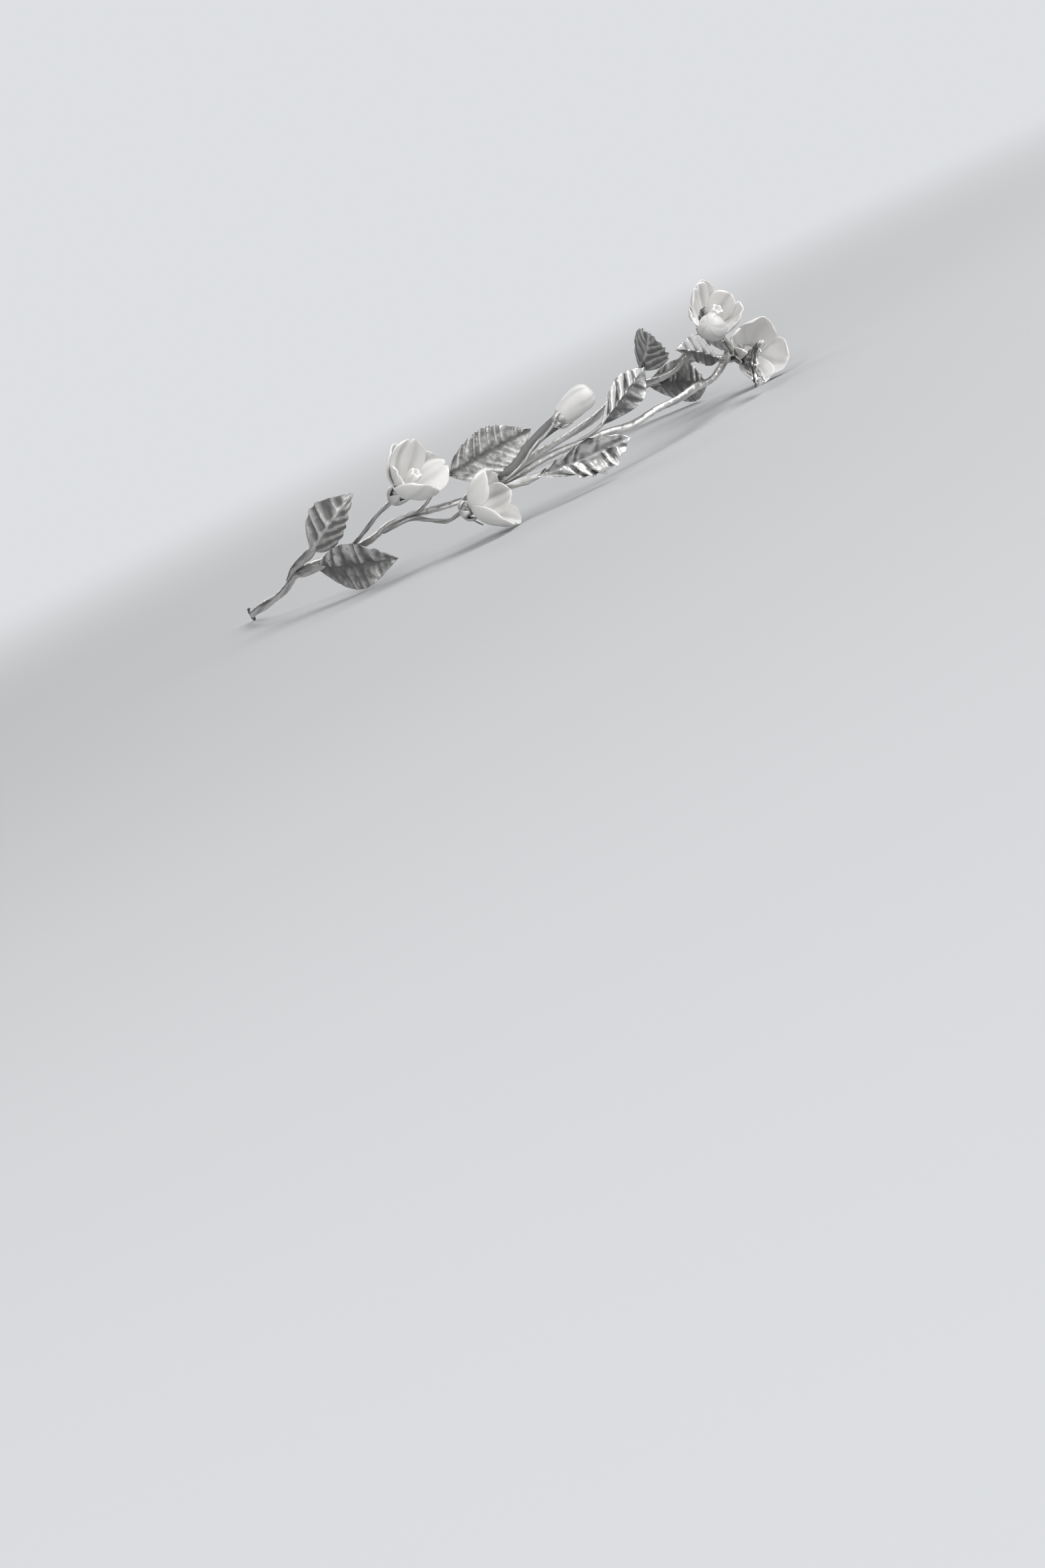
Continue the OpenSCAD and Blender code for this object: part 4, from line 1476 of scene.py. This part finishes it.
    def build(self, bench: Bench) -> None:
        """Makes and places everything on a side.

        Args:
            bench: What it is made with.
        """
        first = 10 if bench.hand is Hand.RIGHT else 30
        for i, leaf in enumerate(self.leaves()):
            leaf.build(bench, first + i)
        for i, bloom in enumerate(self.blooms()):
            bloom.build(bench, first + 7 + i)
        EndLoop().build(bench, 9)


# Floor, light and camera


def aimed(side: Array, up: Array, place_at: tuple) -> Matrix:
    """The placing of a camera or light.

    Args:
        side: The direction to its right.
        up: The direction to its top.
        place_at: Its place in metres.

    Returns:
        Its matrix.
    """
    placing = np.eye(4)
    placing[:3] = np.column_stack([side, up, np.cross(side, up), place_at])
    return Matrix(placing.tolist())


@dataclass(frozen=True)
class Studio:
    """A pale floor that fades into a pale surround, and soft light.

    Args:
        pale: Colour of the surround.
        floor_radius: Radius of the floor in metres.
        position: The camera's place in metres.
        right: The direction to the right of its picture.
        up: The direction to the top of its picture.
        focal_px: Focal length in pixels of the photograph.
        height_px: Height of the photograph in pixels.
        bright_side: The direction that the light of the surround comes from.
        lit_point: The point that the lights are turned to.
        lamps: Name, place in metres, side in metres, power in watts and colour of each square light.
    """

    pale: str = "#DEE0E3"
    floor_radius: float = 6.0
    position: tuple = (-0.69160150, -0.77521518, 0.08249705)
    right: tuple = (0.65207315, -0.62468851, -0.42961013)
    up: tuple = (0.42478204, -0.16832865, 0.88950867)
    focal_px: float = 5000.0
    height_px: float = 2352.0
    bright_side: tuple = (-0.2, -0.6, 0.77)
    lit_point: tuple = (0.0, -0.02, 0.02)
    lamps: tuple = (
        ("window", (0.55, -0.7, 0.95), 0.7, 10.6, "#FFFFFF"),
        ("sky_card", (-0.9, -0.35, 1.0), 0.45, 3.0, "#FAFBFF"),
        ("front_card", (0.36, -1.1, 0.33), 0.5, 4.0, "#FFFFFF"),
        ("side_card", (-1.1, -0.55, 0.2), 0.45, 2.6, "#FFFFFF"),
        ("back_card", (0.3, 1.0, 0.7), 0.4, 3.0, "#FFFFFF"))

    def camera(self) -> None:
        """Makes the camera where the photograph was taken from."""
        data = bpy.data.cameras.new("camera")
        data.sensor_width = 36.0
        data.lens = self.focal_px * data.sensor_width / self.height_px
        data.clip_start, data.clip_end = 0.01, 50.0
        camera = new_object("camera", data)
        camera.matrix_world = aimed(self.right, self.up, self.position)
        bpy.context.scene.camera = camera

    def floor(self) -> None:
        """Makes the floor, whose far part glows as pale as the surround."""
        angle = circle(96)[0]
        ring = np.stack([np.cos(angle), np.sin(angle), 0 * angle], -1) * self.floor_radius
        mesh = bpy.data.meshes.new("floor")
        mesh.from_pydata(ring.tolist(), [], [list(range(len(angle)))])
        material = bpy.data.materials.new("pale matt floor")
        material.use_nodes = True
        tree, nodes = Tree(material.node_tree), material.node_tree.nodes
        shader = nodes["Principled BSDF"]
        tree.feed(shader, {"Base Color": linear("#B2B3B4"), "Roughness": 0.9, "Specular IOR Level": 0.1})
        where = tree.add("ShaderNodeTexCoord", out="Object")
        far = tree.add(VECTORS, (where,), "Value", operation="LENGTH")
        share = tree.add("ShaderNodeMapRange", (far, 0.18, 1.0, 0.0, 1.0), interpolation_type="SMOOTHSTEP")
        glow = tree.add("ShaderNodeEmission", {"Color": linear(self.pale), "Strength": 1.0})
        mixed = tree.add("ShaderNodeMixShader", (share, shader.outputs[0], glow))
        tree.feed(nodes["Material Output"], {"Surface": mixed})
        mesh.materials.append(material)
        new_object("floor", mesh)

    def surround(self) -> None:
        """Lights the world: pale where it is seen, bright above and at one side, dark at the other."""
        world = bpy.data.worlds.new("pale surround")
        bpy.context.scene.world = world
        world.use_nodes = True
        world.node_tree.nodes.clear()
        tree = Tree(world.node_tree)
        way = tree.add("ShaderNodeTexCoord", out="Generated")
        facing = tree.add(VECTORS, (way, self.bright_side), "Value", operation="DOT_PRODUCT")
        share = tree.add("ShaderNodeMapRange", (facing, -0.55, 0.85, 0.0, 1.0),
                         interpolation_type="SMOOTHSTEP")
        shades = {0: share, 6: linear("#3A3A3A"), 7: linear("#F7F7F8")}
        shade = tree.add("ShaderNodeMix", shades, 2, data_type="RGBA")
        lit = tree.add("ShaderNodeBackground", {"Color": shade, "Strength": 0.75})
        seen = tree.add("ShaderNodeBackground", {"Color": linear(self.pale), "Strength": 1.0})
        ray = tree.add("ShaderNodeLightPath", out="Is Camera Ray")
        tree.add("ShaderNodeOutputWorld", {"Surface": tree.add("ShaderNodeMixShader", (ray, lit, seen))})

    def light(self) -> None:
        """Adds the soft lights, each turned to the headband."""
        for name, place_at, size, power, colour in self.lamps:
            data = bpy.data.lights.new(name, "AREA")
            data.size, data.energy, data.color = size, power, linear(colour)[:3]
            lamp = new_object(name, data)
            lamp.visible_camera = False
            back = unit(np.array(place_at) - np.array(self.lit_point))
            side = unit(np.cross(np.array([0.0, 0.0, 1.0]), back))
            lamp.matrix_world = aimed(side, np.cross(back, side), place_at)

    def build(self) -> None:
        """Makes the whole studio."""
        bpy.context.scene.view_settings.view_transform = "Standard"
        self.camera()
        self.floor()
        self.surround()
        self.light()


def main() -> None:
    """Builds the headband and its studio."""
    logging.basicConfig(level=logging.INFO, format="%(message)s")
    Studio().build()
    mill, press, band = WireMill(), RibPress(), Band()
    band.build(mill)
    for hand in Hand:
        Spray().build(Bench(hand, band, mill, press))


if __name__ == "__main__":
    main()
